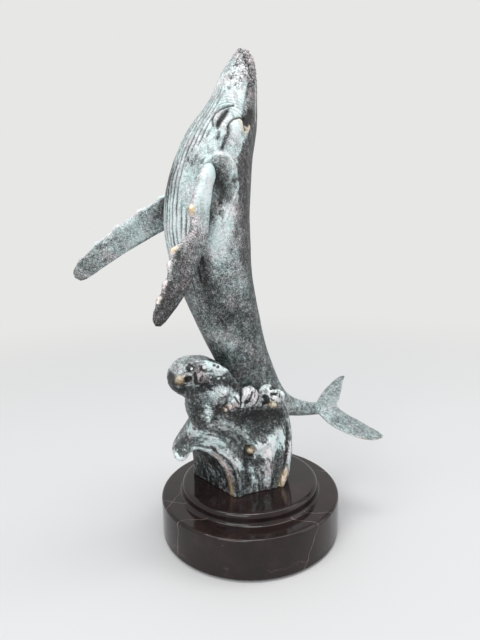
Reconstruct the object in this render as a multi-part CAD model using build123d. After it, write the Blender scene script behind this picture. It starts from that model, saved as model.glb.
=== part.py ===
from build123d import *
import os
from math import cos, exp, pi, radians, sin

# Bronze whale breaching from a wave, on a turned marble base.
# Origin at the middle of the felt's underside, +Z up, belly toward -X, left side toward -Y.
# All lengths are millimetres.

# Driving dimensions of the whole figurine
snout_height = 292.0
tail_height = 74.0
tail_reach = 55.0
girth_radius = 24.5
flipper_length = 98.0
flipper_chord = 18.5
fluke_span = 67.0
fluke_depth = 34.0
fluke_rise = 2.0
wave_height = 89.0
wave_reach = 54.0
wave_thickness = 40.0

# Marble base, turned in one piece
base_radius = 57.5
base_thickness = 25.0
base_edge_radius = 1.8
base_foot_chamfer = 0.8
step_radius = 44.2
step_thickness = 7.0
step_edge_radius = 2.6
cove_radius = 2.4

# Felt under the marble
felt_thickness = 1.0
felt_margin = 2.5

# Clearances and walls of the castings
seat_gap = 0.2
fit_gap = 0.1
cut_overrun = 5.0
wall_thickness = 4.0

# Carved lines: the throat pleats and the mouth
pleat_count = 17
pleat_depth = 0.6
pleat_width = 1.2
pleat_half_angle = 60.0
mouth_depth = 0.8
mouth_width = 1.2
groove_lift = 1.5
groove_fade = 0.5

# Dorsal fin
dorsal_fin_length = 15.0
dorsal_fin_height = 1.4
dorsal_fin_thickness = 2.6
dorsal_fin_tip_length = 4.0
dorsal_fin_root = 3.0

# Round tenons cast on the flippers and flukes
tenon_diameter = 5.0
tenon_length = 7.0
tenon_root = 2.0
fluke_tenon_diameter = 3.2
fluke_tenon_length = 6.0

# Dowel between whale and wave
pin_diameter = 6.0
pin_length = 26.0
pin_place = -3.0
pin_lift = 2.0

# Studs, washers and nuts that hold the wave to the marble
stud_diameter = 5.0
stud_spacing = 20.0
stud_grip = 13.0
stud_tail = 1.5
stud_hole_diameter = 6.0
boss_diameter = 10.0
counterbore_diameter = 16.0
counterbore_depth = 9.0
washer_diameter = 14.0
washer_thickness = 1.2
nut_width = 8.0
nut_thickness = 4.0

# Core pocket under the wave
pocket_height = 27.0
pocket_corner_radius = 5.0
pocket_draft = 5.0

# Round bead in its ring on the near face of the wave
bead_radius = 2.3
bead_ring_radius = 3.7
bead_ring_depth = 1.5
bead_place = -8.0
bead_rise = 28.0

# Foam lumps and bubbles
foam_radius = 6.0
bubble_radius = 1.8

# Streams that stand out of the two faces of the wave, and the hollow under its foam
stream_width = 5.6
stream_lift = 1.6
hollow_length = 22.0
hollow_height = 15.0
hollow_depth = 4.5
hollow_lift = 1.0

base_top = felt_thickness + base_thickness + step_thickness

# Each row is a place on the whale's middle line and its section there: x as a share of
# tail_reach, height as a share of the rise from tail to snout, then half depth and half
# width as shares of girth_radius.
body_shares = [
    (0.980, -0.010, 0.165, 0.180),
    (0.840, -0.007, 0.175, 0.175),
    (0.680, 0.002, 0.215, 0.190),
    (0.545, 0.013, 0.258, 0.215),
    (0.400, 0.033, 0.325, 0.275),
    (0.165, 0.090, 0.510, 0.440),
    (-0.085, 0.200, 0.675, 0.600),
    (-0.225, 0.300, 0.775, 0.735),
    (-0.345, 0.400, 0.880, 0.865),
    (-0.420, 0.490, 0.985, 0.960),
    (-0.435, 0.600, 1.005, 0.985),
    (-0.380, 0.680, 0.945, 0.940),
    (-0.295, 0.750, 0.835, 0.860),
    (-0.180, 0.815, 0.680, 0.725),
    (-0.100, 0.880, 0.520, 0.565),
    (-0.045, 0.935, 0.400, 0.420),
    (-0.015, 0.968, 0.285, 0.300),
    (-0.008, 0.987, 0.190, 0.195),
]
body_steps = 24
pleat_rows = body_shares[8:16]
core_rows = body_shares[8:16]
mouth_rows = body_shares[12:18]
mouth_angles = [112.0, 92.0, 84.0, 80.0, 80.0, 84.0]
fin_row = 6

# Flipper sections: share of length, then leading and trailing reach and thickness as
# shares of flipper_chord.
left_blade_shares = [
    (0.00, 0.22, 0.22, 0.36),
    (0.10, 0.24, 0.24, 0.35),
    (0.22, 0.31, 0.26, 0.33),
    (0.34, 0.35, 0.34, 0.29),
    (0.42, 0.18, 0.44, 0.27),
    (0.50, 0.15, 0.48, 0.26),
    (0.57, 0.33, 0.45, 0.24),
    (0.64, 0.46, 0.44, 0.22),
    (0.76, 0.33, 0.38, 0.20),
    (0.88, 0.28, 0.26, 0.17),
    (0.95, 0.24, 0.19, 0.14),
    (0.985, 0.15, 0.12, 0.10),
]
right_blade_shares = [
    (0.00, 0.32, 0.32, 0.36),
    (0.10, 0.36, 0.42, 0.34),
    (0.22, 0.41, 0.52, 0.31),
    (0.36, 0.41, 0.54, 0.28),
    (0.50, 0.39, 0.51, 0.25),
    (0.64, 0.36, 0.47, 0.22),
    (0.76, 0.33, 0.43, 0.20),
    (0.88, 0.29, 0.38, 0.17),
    (0.95, 0.23, 0.32, 0.14),
    (0.985, 0.14, 0.24, 0.10),
]
fin_steps = 12
fullness_share = 0.3
blade_stations = 18
knob_share = 0.07
knob_width_share = 0.045
left_knob_shares = (0.33, 0.60, 0.70, 0.80, 0.89)
right_knob_shares = (0.14, 0.29, 0.44, 0.60, 0.75, 0.90)

# Middle line of each flipper as shares of flipper_length, from the height on the body
# given as a share of snout_height: x, outwards and up.
shoulder_height_share = 0.745
left_flipper_shares = [
    (-0.230, 0.123, 0.128),
    (-0.307, 0.223, 0.036),
    (-0.384, 0.292, -0.158),
    (-0.484, 0.368, -0.379),
    (-0.591, 0.453, -0.566),
    (-0.696, 0.534, -0.698),
]
right_flipper_shares = [
    (-0.200, 0.110, 0.035),
    (-0.300, 0.200, -0.045),
    (-0.470, 0.275, -0.150),
    (-0.670, 0.350, -0.275),
    (-0.850, 0.440, -0.412),
    (-0.985, 0.520, -0.535),
]
left_lead_direction = (-0.85, -0.25, 0.45)
right_lead_direction = (-0.45, 0.15, 0.88)
tenon_share = 0.20
tenon_row = 11

# Flukes in their own plane: share of half span, then leading edge, trailing edge and
# thickness as shares of fluke_depth. The right lobe sweeps back more than the left.
left_fluke_shares = [
    (0.00, -0.14, 0.38, 0.230),
    (0.10, -0.12, 0.40, 0.205),
    (0.22, -0.10, 0.49, 0.150),
    (0.40, -0.05, 0.65, 0.110),
    (0.60, 0.05, 0.79, 0.090),
    (0.78, 0.22, 0.93, 0.075),
    (0.90, 0.37, 0.97, 0.060),
    (0.97, 0.50, 0.90, 0.045),
    (1.00, 0.60, 0.78, 0.030),
]
right_fluke_shares = [
    (0.00, -0.14, 0.38, 0.230),
    (0.10, -0.08, 0.40, 0.205),
    (0.22, 0.00, 0.51, 0.150),
    (0.40, 0.16, 0.63, 0.110),
    (0.60, 0.37, 0.75, 0.090),
    (0.77, 0.58, 0.84, 0.070),
    (0.89, 0.76, 0.93, 0.050),
    (0.94, 0.86, 0.97, 0.030),
]
fluke_roll = 22.5
fluke_yaw = -5.5
fluke_pitch = 5.2

# Wave outline in the whale's own plane: x as a share of wave_reach and height above the
# marble as a share of wave_height. The back runs from the right foot over the crest to
# the tip of the lip, and the barrel from there to the left foot, near and far side.
wave_back_shares = [
    (0.420, 0.000),
    (0.475, 0.110),
    (0.500, 0.220),
    (0.500, 0.330),
    (0.470, 0.440),
    (0.420, 0.550),
    (0.330, 0.640),
    (0.200, 0.690),
    (0.050, 0.700),
    (-0.100, 0.700),
    (-0.220, 0.770),
    (-0.360, 0.885),
    (-0.500, 0.960),
    (-0.640, 0.990),
    (-0.800, 0.985),
    (-0.920, 0.955),
    (-0.985, 0.900),
    (-0.995, 0.845),
    (-0.955, 0.800),
    (-0.875, 0.770),
    (-0.830, 0.715),
    (-0.830, 0.640),
    (-0.790, 0.555),
    (-0.865, 0.480),
    (-0.960, 0.410),
    (-1.000, 0.370),
    (-0.955, 0.335),
    (-0.875, 0.350),
]
near_barrel_shares = [
    (-0.800, 0.395),
    (-0.690, 0.385),
    (-0.550, 0.333),
    (-0.445, 0.250),
    (-0.365, 0.140),
    (-0.345, 0.000),
]
far_barrel_shares = [
    (-0.628, 0.270),
    (-0.626, 0.220),
    (-0.625, 0.170),
    (-0.624, 0.110),
    (-0.623, 0.050),
    (-0.622, 0.000),
]

# How the back changes from station to station: lip and crest draw in from the near face
# to the far one, and the flank from its middle to both.
crest_station = -1.0
lip_draw_share = 0.07
crest_draw_share = 0.025
flank_station = 0.10
flank_full_share = 1.07
flank_draw_share = 0.30

# Stations across the wave: share of half thickness, and how far the back draws in there
# as a share of the rounding.
wave_rounding = 4.5
inset_fade_steps = 4
wave_station_shares = [
    (-1.00, 1.00),
    (-0.93, 0.35),
    (-0.78, 0.00),
    (-0.30, 0.00),
    (0.30, 0.00),
    (0.78, 0.00),
    (0.93, 0.35),
    (1.00, 1.00),
]

# Foam lumps and bubbles: x as a share of wave_reach, y of wave_thickness, height of
# wave_height, and size as a share of foam_radius or bubble_radius.
foam_shares = [
    (-0.80, -0.26, 0.89, 1.35),
    (-0.55, -0.32, 0.88, 1.25),
    (-0.30, -0.42, 0.76, 1.00),
    (-0.10, -0.44, 0.68, 0.95),
    (0.07, -0.44, 0.69, 0.90),
    (0.24, -0.40, 0.64, 1.00),
    (-0.66, 0.22, 0.80, 1.20),
    (-0.42, 0.32, 0.78, 1.05),
    (-0.18, 0.42, 0.70, 1.00),
    (0.04, 0.44, 0.65, 0.95),
    (0.22, 0.40, 0.62, 0.95),
]
bubble_shares = [
    (-0.90, -0.42, 0.90, 1.0),
    (-0.80, -0.46, 0.93, 1.1),
    (-0.90, -0.40, 0.79, 1.2),
    (-0.20, -0.56, 0.66, 0.9),
    (0.30, -0.53, 0.61, 1.2),
]

# Streams on each face from top to foot: x as a share of wave_reach, height of wave_height,
# then width and lift as shares of stream_width and stream_lift.
near_stream_shares = [
    [
        (-0.46, 0.600, 0.50, 0.35),
        (-0.38, 0.565, 0.85, 0.90),
        (-0.27, 0.505, 1.00, 1.10),
        (-0.15, 0.420, 0.90, 1.00),
        (-0.07, 0.345, 0.45, 0.35),
    ],
    [
        (-0.70, 0.510, 0.50, 0.35),
        (-0.62, 0.490, 0.85, 0.80),
        (-0.52, 0.435, 1.00, 1.00),
        (-0.43, 0.345, 1.00, 1.00),
        (-0.36, 0.230, 0.95, 0.90),
        (-0.305, 0.100, 0.90, 0.75),
        (-0.295, -0.030, 0.85, 0.60),
    ],
    [
        (0.11, 0.470, 0.45, 0.35),
        (0.17, 0.400, 0.90, 0.90),
        (0.15, 0.310, 1.00, 1.00),
        (0.10, 0.190, 0.95, 0.90),
        (0.09, 0.080, 0.85, 0.75),
        (0.09, -0.030, 0.80, 0.60),
    ],
]
far_stream_shares = [
    [
        (-0.40, 0.600, 0.50, 0.35),
        (-0.34, 0.540, 0.85, 0.90),
        (-0.24, 0.460, 1.00, 1.00),
        (-0.20, 0.330, 1.00, 1.00),
        (-0.22, 0.200, 0.95, 0.90),
        (-0.24, 0.080, 0.90, 0.75),
        (-0.25, -0.030, 0.85, 0.60),
    ],
    near_stream_shares[2],
]
near_hollow_shares = (-0.02, 0.528)
far_hollow_shares = (0.05, 0.517)


def body_point(row):
    """A place on the whale's middle line."""
    rise = snout_height - tail_height
    return Vector(row[0] * tail_reach, 0, tail_height + row[1] * rise)


snout = Vector(0, 0, snout_height)
spine = Spline(*[body_point(row) for row in body_shares], snout)


def body_plane(row):
    """A plane square to the middle line, x toward the back and y toward the right side."""
    centre = body_point(row)
    along = spine.tangent_at(centre)
    return Plane(origin=centre, x_dir=Vector(0, 1, 0).cross(along), z_dir=along)


def closed_wire(points):
    """A smooth closed wire through points that all sections hold in the same order."""
    steps = len(points)
    places = [step / steps for step in range(steps + 1)]
    return Wire([Edge.make_spline(points, periodic=True, parameters=places)])


def open_edge(points):
    """A smooth edge through points that all sections hold in the same order."""
    last = len(points) - 1
    places = [step / last for step in range(last + 1)]
    return Edge.make_spline(points, parameters=places)


def body_section(row, grow):
    """One closed section square to the middle line, grown outwards by a clearance."""
    plane = body_plane(row)
    half_depth = row[2] * girth_radius + grow
    half_width = row[3] * girth_radius + grow
    points = []
    for step in range(body_steps):
        angle = 2 * pi * step / body_steps
        place = Vector(half_depth * cos(angle), half_width * sin(angle), 0)
        points.append(plane.from_local_coords(place))
    return closed_wire(points)


def body_solid(grow=0.0):
    """The smooth body from tail stock to snout."""
    sections = [body_section(row, grow) for row in body_shares]
    tip = Vertex(*(snout + Vector(0, 0, grow)))
    return Solid.make_loft([*sections, tip])


def groove(rows, angles, depth, width):
    """A cutter for one carved line along the body, which fades out at both ends."""
    sections = []
    for count, (row, degrees) in enumerate(zip(rows, angles)):
        plane = body_plane(row)
        half_depth = row[2] * girth_radius
        half_width = row[3] * girth_radius
        angle = radians(degrees)
        outward = Vector(cos(angle) / half_depth, sin(angle) / half_width, 0).normalized()
        sideways = Vector(-outward.Y, outward.X, 0)
        surface = Vector(half_depth * cos(angle), half_width * sin(angle), 0)
        at_end = count in (0, len(rows) - 1)
        sink = -groove_fade if at_end else depth
        spread = sideways * (width / 2 * (groove_lift + depth) / depth)
        corners = [
            surface - outward * sink,
            surface + outward * groove_lift + spread,
            surface + outward * groove_lift - spread,
        ]
        places = [plane.from_local_coords(corner) for corner in corners]
        sections.append(Wire.make_polygon(places, close=True))
    return Solid.make_loft(sections)


def pleat_cutters():
    """The pleats run side by side over throat and belly."""
    cutters = []
    for count in range(pleat_count):
        across = 2 * count / (pleat_count - 1) - 1
        degrees = 180 + pleat_half_angle * across
        angles = [degrees for row in pleat_rows]
        cutters.append(groove(pleat_rows, angles, pleat_depth, pleat_width))
    return cutters


def mouth_cutters():
    """The mouth runs from the snout to below the eye on each side."""
    left = [-degrees for degrees in mouth_angles]
    return [
        groove(mouth_rows, mouth_angles, mouth_depth, mouth_width),
        groove(mouth_rows, left, mouth_depth, mouth_width),
    ]


def dorsal_fin():
    """The low fin on the back, drawn in toward its tip and swept to the tail."""
    row = body_shares[fin_row]
    plane = body_plane(row)
    surface = row[2] * girth_radius
    root = plane.from_local_coords(Vector(surface - dorsal_fin_root, 0, 0))
    top_place = Vector(surface + dorsal_fin_height, 0, -dorsal_fin_length / 4)
    top = plane.from_local_coords(top_place)
    foot_plane = Plane(origin=root, x_dir=plane.z_dir, z_dir=plane.x_dir)
    top_plane = Plane(origin=top, x_dir=plane.z_dir, z_dir=plane.x_dir)
    foot = foot_plane * Ellipse(dorsal_fin_length / 2, dorsal_fin_thickness / 2)
    tip = top_plane * Ellipse(dorsal_fin_tip_length / 2, dorsal_fin_thickness / 4)
    return loft([foot, tip])


def fin_section(plane, lead, trail, thickness):
    """A closed fin section, fuller toward the leading edge than the trailing one."""
    half = (lead + trail) / 2
    offset = (lead - trail) / 2
    points = []
    for step in range(fin_steps):
        angle = 2 * pi * step / fin_steps
        fullness = 1 + fullness_share * cos(angle)
        x = offset + half * cos(angle)
        y = thickness / 2 * sin(angle) * fullness
        points.append(plane.from_local_coords(Vector(x, y, 0)))
    return closed_wire(points)


def knob(share, knob_shares):
    """How far the leading edge stands out at its row of round knobs."""
    total = 0.0
    for place in knob_shares:
        total += exp(-(((share - place) / knob_width_share) ** 2))
    return knob_share * total


def read_table(rows, share):
    """Every column of a table of shares, read at a share between its rows."""
    for low, high in zip(rows, rows[1:]):
        if share <= high[0]:
            part = (share - low[0]) / (high[0] - low[0])
            return [a + (b - a) * part for a, b in zip(low[1:], high[1:])]
    return list(rows[-1][1:])


def flipper_path(shares, side):
    """The middle line of a flipper, from inside the body to the tip."""
    shoulder = Vector(0, 0, shoulder_height_share * snout_height)
    points = []
    for x, outwards, up in shares:
        points.append(shoulder + Vector(x, side * outwards, up) * flipper_length)
    return Spline(*points)


def flipper_plane(path, share, lead_direction):
    """A plane square to a flipper's middle line, with x toward the leading edge."""
    along = path % share
    lead = Vector(*lead_direction)
    lead = lead - along * lead.dot(along)
    return Plane(origin=path @ share, x_dir=lead, z_dir=along)


def flipper_blade(path, blade_shares, knob_shares, lead_direction):
    """The long knobbed blade of a flipper, from inside the body to the tip."""
    last = blade_shares[-1][0]
    sections = []
    for step in range(blade_stations + 1):
        share = last * step / blade_stations
        lead, trail, thickness = read_table(blade_shares, share)
        plane = flipper_plane(path, share, lead_direction)
        lead = (lead + knob(share, knob_shares)) * flipper_chord
        trail = trail * flipper_chord
        sections.append(fin_section(plane, lead, trail, thickness * flipper_chord))
    return Solid.make_loft([*sections, Vertex(*(path @ 1))])


def flipper_tenon(path, gap):
    """The round tenon from a flipper's root toward the body's middle, or its socket."""
    surface = path @ tenon_share
    middle = Vector(body_shares[tenon_row][0] * tail_reach, 0, surface.Z)
    inward = (middle - surface).normalized()
    plane = Plane(origin=surface - inward * tenon_root, z_dir=inward)
    return plane * standing(tenon_diameter + 2 * gap, tenon_root + tenon_length + gap)


def fluke_frame():
    """The flukes' own plane at the end of the tail stock: x aft and y to the right."""
    end = body_point(body_shares[0])
    tilt = Rotation(fluke_roll, fluke_pitch, fluke_yaw)
    return Location(end) * tilt


def fluke_section(row, side):
    """One section across a lobe."""
    share, lead, trail, thickness = row
    frame = fluke_frame()
    place = Vector(0, side * share * fluke_span / 2, fluke_rise * share**2)
    origin = (frame * Location(place)).position
    x_dir = (frame * Location(Vector(-1, 0, 0))).position - frame.position
    z_dir = (frame * Location(Vector(0, 1, 0))).position - frame.position
    plane = Plane(origin=origin, x_dir=x_dir, z_dir=z_dir)
    return fin_section(
        plane,
        -lead * fluke_depth,
        trail * fluke_depth,
        thickness * fluke_depth,
    )


def fluke_blades():
    """Both lobes in one loft from end to end."""
    left = [fluke_section(row, -1) for row in reversed(left_fluke_shares[1:])]
    right = [fluke_section(row, 1) for row in right_fluke_shares]
    return Solid.make_loft([*left, *right])


def fluke_tenon(gap):
    """The round tenon that enters the tail stock, or its socket with a gap."""
    end = body_point(body_shares[0])
    along = spine.tangent_at(end)
    plane = Plane(origin=end - along * fluke_tenon_length, z_dir=along)
    return plane * standing(fluke_tenon_diameter + 2 * gap, 2 * fluke_tenon_length + gap)


def wave_point(shares):
    """A place on the wave's outline, in the whale's own plane."""
    return Vector(shares[0] * wave_reach, 0, base_top + shares[1] * wave_height)


def drawn_in(points, inset):
    """The points of an open outline moved inwards, less and less toward its two ends."""
    last = len(points) - 1
    moved = [points[0]]
    for count in range(1, last):
        along = (points[count + 1] - points[count - 1]).normalized()
        fade = min(1, count / inset_fade_steps, (last - count) / inset_fade_steps)
        moved.append(points[count] + Vector(-along.Z, 0, along.X) * (inset * fade))
    moved.append(points[last])
    return moved


def at_station(shares, station):
    """A place on the back's outline as it is at one station."""
    x, height = shares
    from_crest = (station - crest_station) ** 2
    from_flank = (station - flank_station) ** 2
    if x < 0:
        x = x * (1 - lip_draw_share * from_crest)
    else:
        x = x * (flank_full_share - flank_draw_share * from_flank)
    return wave_point((x, height * (1 - crest_draw_share * from_crest)))


def wave_section(station, inset_share):
    """The wave's outline at one station across it."""
    across = Vector(0, station * wave_thickness / 2, 0)
    back = [at_station(shares, station) for shares in wave_back_shares]
    back = drawn_in(back, inset_share * wave_rounding)
    far = (1 + station) / 2
    barrel = [back[-1]]
    for near_place, far_place in zip(near_barrel_shares, far_barrel_shares):
        near_point = wave_point(near_place)
        far_point = wave_point(far_place)
        barrel.append(near_point + (far_point - near_point) * far)
    back = [point + across for point in back]
    barrel = [point + across for point in barrel]
    foot = Edge.make_line(barrel[-1], back[0])
    return Wire([open_edge(back), open_edge(barrel), foot])


def wave_place(shares):
    """A place on the wave from shares of its reach, thickness and height."""
    return Vector(
        shares[0] * wave_reach,
        shares[1] * wave_thickness,
        base_top + shares[2] * wave_height,
    )


def foam():
    """Round lumps of foam along the crest and round the tail stock, with bubbles."""
    lumps = []
    for shares in foam_shares:
        lumps.append(Pos(wave_place(shares)) * Sphere(shares[3] * foam_radius))
    for shares in bubble_shares:
        lumps.append(Pos(wave_place(shares)) * Sphere(shares[3] * bubble_radius))
    return lumps


def stream(rows, side):
    """One rounded stream down a face of the wave, half sunk in it."""
    outward = Vector(0, side, 0)
    centres = [wave_point(row) + outward * (wave_thickness / 2) for row in rows]
    path = Spline(*centres)
    sections = []
    for centre, row in zip(centres, rows):
        plane = Plane(origin=centre, x_dir=outward, z_dir=path.tangent_at(centre))
        points = []
        for step in range(fin_steps):
            angle = 2 * pi * step / fin_steps
            x = row[3] * stream_lift * cos(angle)
            y = row[2] * stream_width / 2 * sin(angle)
            points.append(plane.from_local_coords(Vector(x, y, 0)))
        sections.append(closed_wire(points))
    return Solid.make_loft(sections)


def streams():
    """The streams of both faces, cut off at the marble."""
    marble = Pos(0, 0, -cut_overrun) * standing(2 * base_radius, base_top + cut_overrun)
    shapes = [stream(rows, -1) for rows in near_stream_shares]
    shapes += [stream(rows, 1) for rows in far_stream_shares]
    return [shape - marble for shape in shapes]


def hollow(shares, side):
    """The oval hollow in a face, under the foam."""
    depth = hollow_depth + hollow_lift
    stretch = (hollow_length / 2 / depth, 1, hollow_height / 2 / depth)
    place = wave_point(shares) + Vector(0, side * (wave_thickness / 2 + hollow_lift), 0)
    return Pos(place) * scale(Sphere(depth), by=stretch)


def bead_ring():
    """A round recess in the near face."""
    place = Vector(bead_place, -wave_thickness / 2, base_top + bead_rise)
    plane = Plane(origin=place, z_dir=Vector(0, -1, 0))
    return plane * Pos(0, 0, -bead_ring_depth) * Cylinder(
        bead_ring_radius,
        bead_ring_depth + cut_overrun,
        align=(Align.CENTER, Align.CENTER, Align.MIN),
    )


def bead():
    """The bead that stands in the recess."""
    depth = wave_thickness / 2 - bead_ring_depth
    return Pos(bead_place, -depth, base_top + bead_rise) * Sphere(bead_radius)


def standing(diameter, height):
    """A cylinder that stands on its own origin."""
    align = (Align.CENTER, Align.CENTER, Align.MIN)
    return Cylinder(diameter / 2, height, align=align)


pocket_left = near_barrel_shares[-1][0] * wave_reach + wall_thickness
pocket_right = wave_back_shares[0][0] * wave_reach - 2 * wall_thickness
pocket_middle = (pocket_left + pocket_right) / 2
pocket_half_width = wave_thickness / 2 - wall_thickness
stud_places = [(pocket_middle, side * stud_spacing / 2) for side in (-1, 1)]


def stud_rods(diameter, foot, height):
    """A pair of upright cylinders at the studs."""
    return [Pos(x, y, foot) * standing(diameter, height) for x, y in stud_places]


def core_pocket():
    """The open pocket under the wave, round its two tapped bosses."""
    width = pocket_right - pocket_left
    outline = RectangleRounded(width, 2 * pocket_half_width, pocket_corner_radius)
    foot = Plane(origin=(pocket_middle, 0, base_top))
    core = extrude(foot * outline, pocket_height, taper=pocket_draft)
    skirt = extrude(foot * outline, -cut_overrun)
    bosses = stud_rods(boss_diameter, base_top - cut_overrun, 2 * pocket_height)
    return core + skirt - bosses


def pin_rod(gap=0.0):
    """The upright dowel, half in the wave and half in the whale, or its bore."""
    foot = Pos(pin_place, 0, tail_height + pin_lift - gap)
    return foot * standing(pin_diameter + 2 * gap, pin_length + 2 * gap)


def stud_foot():
    """The height of the lower end of the studs."""
    seat_height = felt_thickness + counterbore_depth
    return seat_height - washer_thickness - nut_thickness - stud_tail


def wave_solid(whale):
    """The cast wave: back, barrel, foam, saddle for the whale, pocket and tapped holes."""
    solid = Solid.make_loft([wave_section(*row) for row in wave_station_shares])
    solid = solid + streams() - hollow(near_hollow_shares, -1) - hollow(far_hollow_shares, 1)
    solid = solid + foam() - bead_ring() + bead() - whale
    solid = solid - core_pocket() - pin_rod(fit_gap)
    depth = stud_grip + stud_tail + cut_overrun
    bores = stud_rods(stud_diameter + 2 * fit_gap, base_top - cut_overrun, depth)
    return largest(solid - bores)


def largest(shape):
    """The biggest solid of a shape, without the crumbs of a cut."""
    return shape.solids().sort_by(SortBy.VOLUME)[-1]


def core_solid():
    """The hollow inside the trunk, a wall's thickness within its surface."""
    sections = [body_section(row, -wall_thickness) for row in core_rows]
    return Solid.make_loft(sections)


def whale_solid(body, paths):
    """The whale's body with fin, pleats and mouth, hollow, with its sockets and bore."""
    solid = body + dorsal_fin()
    solid = solid - pleat_cutters() - mouth_cutters() - core_solid()
    sockets = [flipper_tenon(path, fit_gap) for path in paths]
    return largest(solid - sockets - fluke_tenon(fit_gap) - pin_rod(fit_gap))


def flipper_solid(path, blade_shares, knob_shares, lead_direction, seat):
    """A flipper with its blade cut to the body and its tenon."""
    blade = flipper_blade(path, blade_shares, knob_shares, lead_direction)
    blade = largest(blade - seat)
    return blade + flipper_tenon(path, 0.0)


def flukes_solid():
    """Both lobes, cut flush with the end of the tail stock, and their tenon."""
    end = body_point(body_shares[0])
    along = spine.tangent_at(end)
    stock = Plane(origin=end - along * seat_gap, z_dir=along)
    keep_out = stock * Box(
        fluke_span,
        fluke_span,
        fluke_depth,
        align=(Align.CENTER, Align.CENTER, Align.MIN),
    )
    return largest(fluke_blades() - keep_out) + fluke_tenon(0.0)


def marble_base():
    """The turned base: two discs, rounded rims, a cove, and holes from beneath."""
    lower = Pos(0, 0, felt_thickness) * standing(2 * base_radius, base_thickness)
    middle = felt_thickness + base_thickness
    upper = Pos(0, 0, middle) * standing(2 * step_radius, step_thickness)
    rims = (lower + upper).edges().filter_by(GeomType.CIRCLE).sort_by(Axis.Z)
    base = chamfer(rims[0], base_foot_chamfer)
    base = fillet(rim_of(base, middle, base_radius), base_edge_radius)
    base = fillet(rim_of(base, base_top, step_radius), step_edge_radius)
    base = fillet(rim_of(base, middle, step_radius), cove_radius)
    holes = stud_rods(stud_hole_diameter, 0, base_top + cut_overrun)
    bores = stud_rods(counterbore_diameter, 0, felt_thickness + counterbore_depth)
    return base - holes - bores


def rim_of(shape, height, radius):
    """The circular edge of a turned shape nearest to a height and radius."""
    rims = shape.edges().filter_by(GeomType.CIRCLE)
    return min(
        rims,
        key=lambda rim: abs(rim.center().Z - height) + abs(rim.radius - radius),
    )


def washers():
    """The washers against the roof of each counterbore."""
    foot = felt_thickness + counterbore_depth - washer_thickness
    rings = stud_rods(washer_diameter, foot, washer_thickness)
    holes = stud_rods(stud_diameter + 2 * fit_gap, 0, base_top)
    return [ring - hole for ring, hole in zip(rings, holes)]


def nuts():
    """The hexagon nuts under the washers."""
    foot = felt_thickness + counterbore_depth - washer_thickness - nut_thickness
    outline = RegularPolygon(nut_width / 2, 6, major_radius=False)
    holes = stud_rods(stud_diameter + 2 * fit_gap, 0, base_top)
    shapes = []
    for (x, y), hole in zip(stud_places, holes):
        shapes.append(Pos(x, y, foot) * extrude(outline, nut_thickness) - hole)
    return shapes


def save(name, *shapes):
    """Writes one node, as a group where it has several solids."""
    shape = shapes[0] if len(shapes) == 1 else Compound(children=list(shapes))
    export_step(shape, f"parts/{name}.step")


os.makedirs("parts", exist_ok=True)

body = body_solid()
seat = body_solid(seat_gap)
left_path = flipper_path(left_flipper_shares, -1)
right_path = flipper_path(right_flipper_shares, 1)
felt_radius = base_radius - felt_margin

save("marble_base", marble_base())
save("felt_pad", standing(2 * felt_radius, felt_thickness))
save("wave", wave_solid(seat))
save("whale_body", whale_solid(body, [left_path, right_path]))
left_forms = (left_blade_shares, left_knob_shares, left_lead_direction)
save("left_flipper", flipper_solid(left_path, *left_forms, seat))
right_forms = (right_blade_shares, right_knob_shares, right_lead_direction)
save("right_flipper", flipper_solid(right_path, *right_forms, seat))
save("tail_flukes", flukes_solid())
save("whale_pin", pin_rod())
save("mounting_studs", *stud_rods(stud_diameter, stud_foot(), base_top + stud_grip - stud_foot()))
save("stud_washers", *washers())
save("stud_nuts", *nuts())
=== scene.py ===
from math import cos, pi, radians, sin

import bpy
import numpy as np
from mathutils import Matrix, Vector, noise

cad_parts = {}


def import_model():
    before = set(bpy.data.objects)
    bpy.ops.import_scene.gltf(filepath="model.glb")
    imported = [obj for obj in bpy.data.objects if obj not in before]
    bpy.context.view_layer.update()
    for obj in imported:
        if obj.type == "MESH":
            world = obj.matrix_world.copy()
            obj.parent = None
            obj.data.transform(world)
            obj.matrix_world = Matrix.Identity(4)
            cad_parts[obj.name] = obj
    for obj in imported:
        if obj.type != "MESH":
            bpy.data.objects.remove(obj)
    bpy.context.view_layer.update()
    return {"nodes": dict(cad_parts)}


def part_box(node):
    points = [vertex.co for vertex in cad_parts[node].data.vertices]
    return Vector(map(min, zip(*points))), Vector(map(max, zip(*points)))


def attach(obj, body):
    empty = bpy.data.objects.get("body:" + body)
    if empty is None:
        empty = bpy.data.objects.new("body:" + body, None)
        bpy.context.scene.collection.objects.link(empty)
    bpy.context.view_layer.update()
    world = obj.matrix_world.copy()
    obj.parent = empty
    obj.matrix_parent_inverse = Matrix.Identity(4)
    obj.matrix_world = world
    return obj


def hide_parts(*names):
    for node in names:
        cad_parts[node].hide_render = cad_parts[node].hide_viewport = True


# Looks of a bronze whale that breaches from a wave, on a polished marble base.
# The frame is the CAD's: metres, +Z up, belly toward -X, left side toward -Y.
# Tables are in millimetres and degrees, and MM turns them into metres. Floor, lamps and
# camera are in metres.

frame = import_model()

MM = 0.001
base_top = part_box("marble_base")[1].z / MM
snout_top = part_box("whale_body")[1].z / MM

tail_height = 74.0
tail_reach = 55.0
girth_radius = 24.5
flipper_length = 98.0
flipper_chord = 18.5
shoulder_height_share = 0.745
shoulder_height = shoulder_height_share * snout_top
fluke_span = 66.6
fluke_depth = 33.2
fluke_rise = 2.0
wave_reach = 54.0
wave_height = 89.0
half_thickness = 20.0
mirror = np.array([1, -1, 1])

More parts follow.
